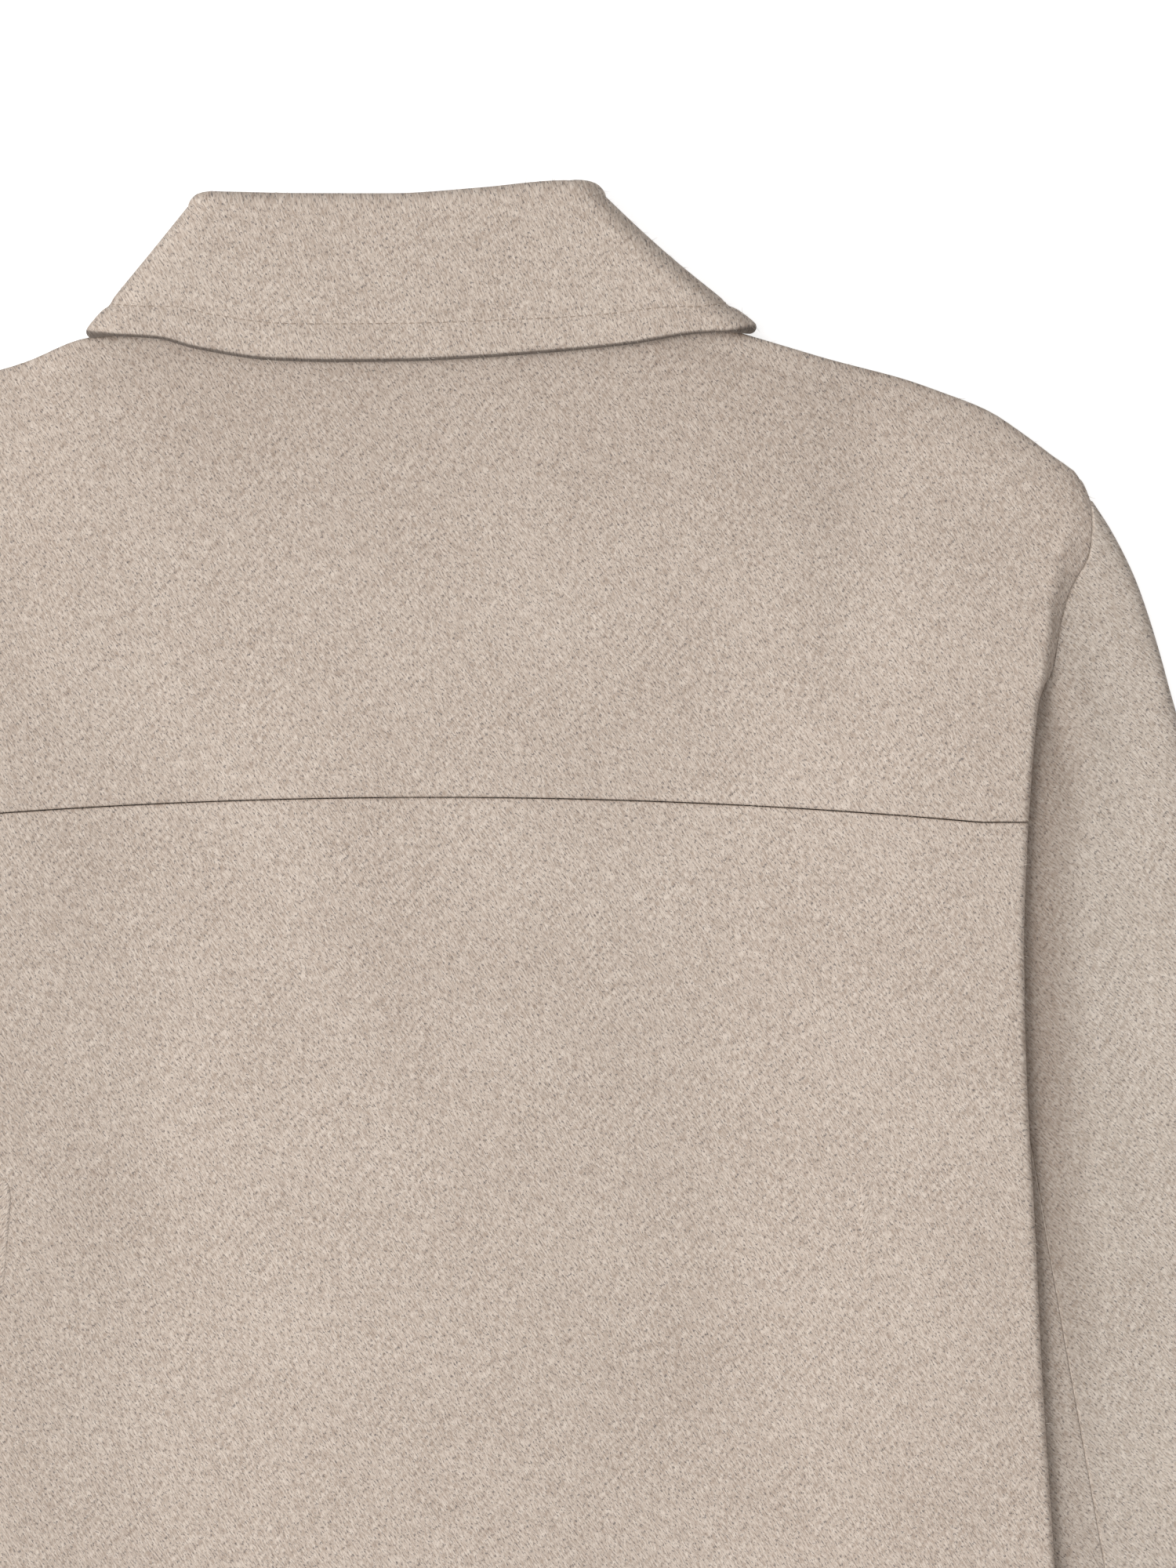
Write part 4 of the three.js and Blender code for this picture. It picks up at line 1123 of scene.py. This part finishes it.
class Recipe(Nodes):
    """A geometry node tree with named sizes, run on an object and settled into a plain mesh."""

    def __init__(self, name):
        self.tree = bpy.data.node_groups.new(name, "GeometryNodeTree")
        for way in ("INPUT", "OUTPUT"):
            self.tree.interface.new_socket("Geometry", in_out=way, socket_type="NodeSocketGeometry")
        self.inputs = {}
        self.start = None

    def size(self, name, kind, given=None):
        made = self.tree.interface.new_socket(name, in_out="INPUT", socket_type=kind)
        if given is not None:
            made.default_value = given
        self.inputs[name] = made.identifier

    def named(self, name, kind):
        """A named attribute of the points or faces that the recipe runs on."""
        return self.node("GeometryNodeInputNamedAttribute", {"data_type": kind}, {"Name": name}).outputs[0]

    def source(self, given):
        """The socket of a named size, or else what is given."""
        return self.start.outputs[given] if isinstance(given, str) and given in self.inputs else given

    def vectors(self, operation, first, second):
        return self.node("ShaderNodeVectorMath", {"operation": operation}, {0: first, 1: second}).outputs[0]

    def random_vector(self, low, high):
        sockets = {"Min": low, "Max": high, "Seed": "Seed"}
        return self.node("FunctionNodeRandomValue", {"data_type": "FLOAT_VECTOR"}, sockets).outputs[0]

    def instances(self, points, thing, turn, scale):
        sockets = {"Points": points, "Instance": thing, "Rotation": turn, "Scale": scale}
        return self.node("GeometryNodeInstanceOnPoints", None, sockets).outputs[0]

    def open(self):
        self.start = self.tree.nodes.new("NodeGroupInput")
        return self.start.outputs["Geometry"]

    def close(self, instances):
        real = self.node("GeometryNodeRealizeInstances", None, {0: instances})
        shaded = self.node("GeometryNodeSetShadeSmooth", None, {0: real.outputs[0]})
        finished = self.node("GeometryNodeSetMaterial", None, {0: shaded.outputs[0], "Material": "Finish"})
        end = self.tree.nodes.new("NodeGroupOutput")
        self.tree.links.new(finished.outputs[0], end.inputs[0])

    def run(self, thing, sizes):
        step = thing.modifiers.new("recipe", "NODES")
        step.node_group = self.tree
        for name, given in sizes.items():
            step[self.inputs[name]] = given
        settle(thing)


def stitch_recipe():
    """A thread stitch at each guide point, along its direction and flat on the cloth."""
    recipe = Recipe("stitches")
    recipe.size("Length", "NodeSocketFloat", 0.0024)
    recipe.size("Width", "NodeSocketFloat", 0.0006)
    recipe.size("Finish", "NodeSocketMaterial")
    recipe.size("Seed", "NodeSocketInt", SEED)
    guide = recipe.open()
    along = recipe.named("along", "FLOAT_VECTOR")
    out = recipe.named("out", "FLOAT_VECTOR")
    axes = {"primary_axis": "Z", "secondary_axis": "X"}
    turn = recipe.node("FunctionNodeAxesToRotation", axes, {0: out, 1: along})
    bead = recipe.node("GeometryNodeMeshUVSphere", None, {"Segments": 8, "Rings": 5, "Radius": 0.5})
    size = recipe.node("ShaderNodeCombineXYZ", None, {"X": "Length", "Y": "Width", "Z": "Width"})
    uneven = recipe.random_vector((0.86, 0.85, 0.85), (1.08, 1.15, 1.15))
    scale = recipe.vectors("MULTIPLY", size.outputs[0], uneven)
    recipe.close(recipe.instances(guide, bead.outputs["Mesh"], turn.outputs[0], scale))
    return recipe


def nap_recipe():
    """Fine fibres that stand and lean on the cloth's outside."""
    recipe = Recipe("nap")
    recipe.size("Density", "NodeSocketFloat", 60000.0)
    recipe.size("Length", "NodeSocketFloat", 0.0026)
    recipe.size("Thickness", "NodeSocketFloat", 0.00007)
    recipe.size("Lean", "NodeSocketVector", (0.35, -0.8, 0.0))
    recipe.size("Finish", "NodeSocketMaterial")
    recipe.size("Seed", "NodeSocketInt", SEED)
    cloth = recipe.open()
    shown = recipe.named("shown", "FLOAT")
    dense = recipe.node("ShaderNodeMath", {"operation": "MULTIPLY"}, {0: shown, 1: "Density"})
    where = {"Mesh": cloth, "Density": dense.outputs[0], "Seed": "Seed"}
    spread = recipe.node("GeometryNodeDistributePointsOnFaces", None, where)
    cone = {"Vertices": 3, "Radius Top": 0.0, "Radius Bottom": "Thickness", "Depth": "Length"}
    strand = recipe.node("GeometryNodeMeshCone", None, cone)
    stray = recipe.random_vector((-0.9, -0.9, -0.25), (0.9, 0.9, 0.45))
    lift = {0: spread.outputs["Normal"], "Scale": 0.42}
    lifted = recipe.node("ShaderNodeVectorMath", {"operation": "SCALE"}, lift)
    aim = recipe.vectors("ADD", recipe.vectors("ADD", "Lean", stray), lifted.outputs[0])
    turn = recipe.node("FunctionNodeAlignRotationToVector", {"axis": "Z"}, {"Vector": aim})
    uneven = recipe.node("FunctionNodeRandomValue", None, {"Min": 0.45, "Max": 1.35, "Seed": "Seed"})
    points, strands = spread.outputs["Points"], strand.outputs["Mesh"]
    recipe.close(recipe.instances(points, strands, turn.outputs[0], uneven.outputs[1]))
    return recipe


def guide_points(name, points, along, out):
    """An object of loose points, each with the direction that its stitch runs in and the one it faces."""
    made = object_of(name, points, [])
    for key, parts in (("along", along), ("out", out)):
        vectors = made.data.attributes.new(key, "FLOAT_VECTOR", "POINT")
        vectors.data.foreach_set("vector", np.array(parts, float).ravel())
    return made


def guide_line(name, lines, pitch, sink):
    """Guide points for stitches, one for each, along lines on shells. A line is a shell, rows and columns."""

    def read(at, run, grid):
        return np.stack([np.interp(at, run, grid[:, k]) for k in range(3)], -1)

    points, along, out = [], [], []
    for shell, rows, columns in lines:
        dense = np.linspace(0, 1, 1500)
        share = np.linspace(0, 1, len(rows))
        place, normal = shell.place(np.interp(dense, share, rows), np.interp(dense, share, columns))
        run = np.concatenate([[0], np.cumsum(np.linalg.norm(np.diff(place, axis=0), axis=1))])
        count = max(2, round(run[-1] / pitch))
        at = (np.arange(count) + 0.5) * run[-1] / count
        facing = unit(read(at, run, normal))
        points.append(read(at, run, place) - facing * sink)
        along.append(unit(read(at + 0.5, run, place) - read(at - 0.5, run, place)))
        out.append(facing)
    return guide_points(name, *[np.concatenate(parts) for parts in (points, along, out)])


def collar_stitch_line(leaf):
    """Round the free edges of the leaf, an even way in from them: rows and columns of its grid."""
    middle = np.argmin(np.abs(leaf.rows - (3 - COLLAR_STITCH / LEAF_DEPTH)))
    columns = leaf.columns
    length = leaf.from_end[np.argmin(np.abs(leaf.rows - 2))]
    rows = 3 - COLLAR_STITCH / length
    ends = []
    for from_edge in (leaf.from_left, leaf.from_right):
        line = from_edge[middle]
        order = np.argsort(line)
        ends.append(float(np.interp(COLLAR_STITCH, line[order], columns[order])))
    inner = (columns >= ends[0]) & (columns <= ends[1])
    row_left, row_right = np.interp(ends, columns, rows)
    near_fold = 2.12
    all_rows = np.concatenate([[near_fold, row_left], rows[inner], [row_right, near_fold]])
    all_columns = np.concatenate([[ends[0]] * 2, columns[inner], [ends[1]] * 2])
    return all_rows, all_columns


def sleeve_stitch_line(upper):
    """Beside the upper sleeve's seam, an even way in from it: rows and columns of its grid."""
    near_seam = upper.columns[:40]
    columns = np.array([np.interp(SLEEVE_STITCH, line[:40], near_seam) for line in upper.from_left])
    return upper.rows[4:-4], columns[4:-4]


def topstitch_lines(shells):
    """The stitch rows that show: for each name its lines and the pitch of its stitches."""
    leaf = shells["collar_leaf"]
    hem, across = np.full(2, HEM_Y + HEM_STITCH), np.array([-2.98, 2.98])
    found = {
        "collar_topstitch": ([(leaf, *collar_stitch_line(leaf))], 3.0),
        "hem_stitch": ([(shells["back_panel"], hem, across)], 3.6),
    }
    cuff, around = np.full(2, 1 - HEM_STITCH / SLEEVE_LENGTH), np.array([0.02, 2.98])
    edge = -1 + FRONT_STITCH / OVERLAP
    for side in ("left", "right"):
        upper, under = shells[f"sleeve_{side}_upper"], shells[f"sleeve_{side}_under"]
        front = shells[f"front_{side}"]
        up_the_edge = (front, np.array([HEM_Y + HEM_STITCH, 200]), np.full(2, edge))
        along_the_hem = (front, hem, np.array([edge, 2.98]))
        found[f"sleeve_{side}_topstitch"] = ([(upper, *sleeve_stitch_line(upper))], 3.1)
        found[f"cuff_{side}_stitch"] = ([(upper, cuff, around), (under, cuff, around)], 3.6)
        found[f"front_{side}_stitch"] = ([up_the_edge, along_the_hem], 3.6)
    return found


def seam_wool_lines(shells):
    """The armholes and the long sleeve seams, where the wool of the turned-in cloth fills the gap."""
    found = {}
    around, beside = np.linspace(0.02, 2.98, 80), np.linspace(0.004, 0.996, 60)
    armhole, start, end = np.zeros(80), np.zeros(60), np.full(60, 3.0)
    for side in ("left", "right"):
        upper, under = shells[f"sleeve_{side}_upper"], shells[f"sleeve_{side}_under"]
        found[f"armhole_{side}_seam"] = [(upper, armhole, around), (under, armhole, around)]
        found[f"sleeve_{side}_seam"] = [(upper, beside, start), (upper, beside, end)]
    return found


# Buttons


def make_button(name, y):
    """A turned button with a raised rim, a dished middle and four holes, its face on the surface."""
    # radius, height above the button's face
    profile = [
        (0, 0.75), (4.6, 0.75), (5.6, 0.62), (6.6, 0.2), (7.6, 0.02), (8.8, 0.02), (9.6, 0.4), (10, 1.1),
        (9.9, 1.7), (9.3, 2.25), (8, 2.55), (0, 2.6),
    ]
    sides = 48
    hole_offset, hole_radius = 2.6, 1.1
    points, faces = [(0, y, profile[0][1])], []
    for radius, height in profile[1:-1]:
        turn = 2 * np.pi * np.arange(sides) / sides
        points += list(zip(radius * np.cos(turn), y + radius * np.sin(turn), np.full(sides, height)))
    points.append((0, y, profile[-1][1]))
    last = len(points) - 1
    for i in range(sides):
        j = (i + 1) % sides
        faces.append((0, 1 + j, 1 + i))
        faces.append((last, last - sides + i, last - sides + j))
        for ring in range(len(profile) - 3):
            a, b = 1 + ring * sides, 1 + (ring + 1) * sides
            faces.append((a + i, a + j, b + j, b + i))
    made = object_of(name, points, faces)
    holes = []
    turn = 2 * np.pi * np.arange(16) / 16
    for quarter in range(4):
        angle = np.pi * (quarter / 2 + 0.25)
        x = hole_offset * np.cos(angle) + hole_radius * np.cos(turn)
        hole_y = y + hole_offset * np.sin(angle) + hole_radius * np.sin(turn)
        holes.append(prism("hole", list(zip(x, hole_y)), -5, 8))
    cut_away(made, holes)
    return made


def button_threads():
    """Guide points for the crossed sewing thread of each button."""
    points, along, out = [], [], []
    for y in BUTTON_HEIGHTS:
        for angle in (np.pi / 4, 3 * np.pi / 4):
            for shift in (-0.28, 0.28):
                side = np.array([-np.sin(angle), np.cos(angle)]) * shift
                points.append((side[0], y + side[1], 0.72))
                along.append((np.cos(angle), np.sin(angle), 0))
                out.append((0, 0, -1))
    return guide_points("button_thread", points, along, out)


# Stage


def make_stage():
    camera = bpy.data.objects.new("camera", bpy.data.cameras.new("camera"))
    camera.data.lens = 162
    camera.data.sensor_width = 36
    camera.location = (0.0542, 0.1525, 2.512)
    bpy.context.collection.objects.link(camera)
    bpy.context.scene.camera = camera
    bpy.context.scene.view_settings.view_transform = "Standard"

    mesh = bpy.data.meshes.new("floor")
    half, level = 4, -0.0004
    corners = [(-half, -half, level), (half, -half, level), (half, half, level), (-half, half, level)]
    mesh.from_pydata(corners, [], [(0, 1, 2, 3)])
    floor = add_object("floor", mesh)
    paper = Finish("floor_paper")
    floor.data.materials.append(paper.done({
        "Base Color": (0.86, 0.86, 0.86, 1), "Roughness": 0.9,
        "Emission Color": (1, 1, 1, 1), "Emission Strength": 0.6,
    }))
    floor.visible_diffuse = False

    world = bpy.data.worlds.new("room")
    bpy.context.scene.world = world
    world.use_nodes = True
    sky = world.node_tree.nodes["Background"]
    sky.inputs["Color"].default_value = (1, 1, 1, 1)
    sky.inputs["Strength"].default_value = 0.475
    # name, place, size, power
    for name, place, size, power in (
        ("key_light", (-3.9, -0.4, 4.3), 3.2, 245),
        ("fill_light", (-0.2, 0.9, 3.2), 2.2, 13),
    ):
        light = bpy.data.lights.new(name, "AREA")
        light.size = size
        light.energy = power
        lamp = bpy.data.objects.new(name, light)
        lamp.location = place
        aim = Vector((0.05, 0.1, 0)) - Vector(place)
        lamp.rotation_euler = aim.to_track_quat("-Z", "Y").to_euler()
        bpy.context.collection.objects.link(lamp)


make_stage()

BODY_WOOL = wool_finish("wool_body", colour(170, 152, 138), colour(222, 208, 195), 50, 2.37)
COLLAR_WOOL = wool_finish("wool_collar", colour(167, 149, 135), colour(220, 206, 193), 42, 2.1)
SLEEVE_WOOL = wool_finish("wool_sleeve", colour(170, 154, 140), colour(221, 209, 197), 50, 2.37)
THREAD = plain_finish("sewing_thread", colour(150, 134, 120), colour(176, 160, 146), 1.2, 0.6)
SEAM_WOOL = plain_finish("seam_wool", colour(192, 177, 163), colour(216, 203, 190), 1.6, 0.9)
FIBRE = plain_finish("wool_fibre", colour(206, 192, 178), colour(236, 226, 214), 6, 0.7)
HORN = plain_finish("horn", colour(98, 78, 60), colour(142, 120, 96), 7, 0.28)

shells = {
    "back_panel": make_back(),
    "back_yoke": make_yoke(),
    "front_left": make_front(-1),
    "front_right": make_front(1),
    "sleeve_left_upper": make_sleeve(-1, True),
    "sleeve_left_under": make_sleeve(-1, False),
    "sleeve_right_upper": make_sleeve(1, True),
    "sleeve_right_under": make_sleeve(1, False),
    "collar_stand": make_stand(),
    "collar_leaf": make_leaf(),
}


def wool_for(node):
    if node.startswith("collar"):
        return COLLAR_WOOL
    return SLEEVE_WOOL if node.startswith("sleeve") else BODY_WOOL


def make_cloth(node, shell):
    """The cloth piece in place of a solid, with the neck opening cut out of it."""
    cloth = shell.make(node + "_cloth")
    if node == "back_yoke":
        cut_away(cloth, neck_blocks(False))
    if node.startswith("front"):
        cut_away(cloth, neck_blocks(True))
    cloth.data.materials.clear()
    cloth.data.materials.append(wool_for(node))
    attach(cloth, "root")
    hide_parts(node)
    return cloth


def sew(shells):
    """The wool in the seams, the topstitching and the thread of the buttons."""
    stitching = stitch_recipe()
    threads = []
    for name, lines in seam_wool_lines(shells).items():
        threads.append(guide_line(name, lines, 1.5, -0.12))
        stitching.run(threads[-1], {"Length": 0.0034, "Width": 0.0019, "Finish": SEAM_WOOL})
    for name, (lines, pitch) in topstitch_lines(shells).items():
        threads.append(guide_line(name, lines, pitch, 0.12))
        stitching.run(threads[-1], {"Length": 0.0024, "Width": 0.00062, "Finish": THREAD})
    threads.append(button_threads())
    stitching.run(threads[-1], {"Length": 0.0052, "Width": 0.0006, "Finish": THREAD})
    for piece in threads:
        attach(piece, "root")


def brush(cloths):
    """The nap of each cloth piece but the hidden stand."""
    napping = nap_recipe()
    for node, cloth in cloths.items():
        if node == "collar_stand":
            continue
        piece = add_object(node + "_nap", cloth.data.copy())
        napping.run(piece, {"Density": 60000.0, "Finish": FIBRE})
        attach(piece, "root")


def button_up():
    for number, y in enumerate(BUTTON_HEIGHTS, 1):
        piece = make_button(f"button_{number}_turned", y)
        piece.data.materials.clear()
        piece.data.materials.append(HORN)
        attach(piece, "root")
        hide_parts(f"button_{number}")


cloths = {node: make_cloth(node, shell) for node, shell in shells.items()}
sew(shells)
brush(cloths)
button_up()
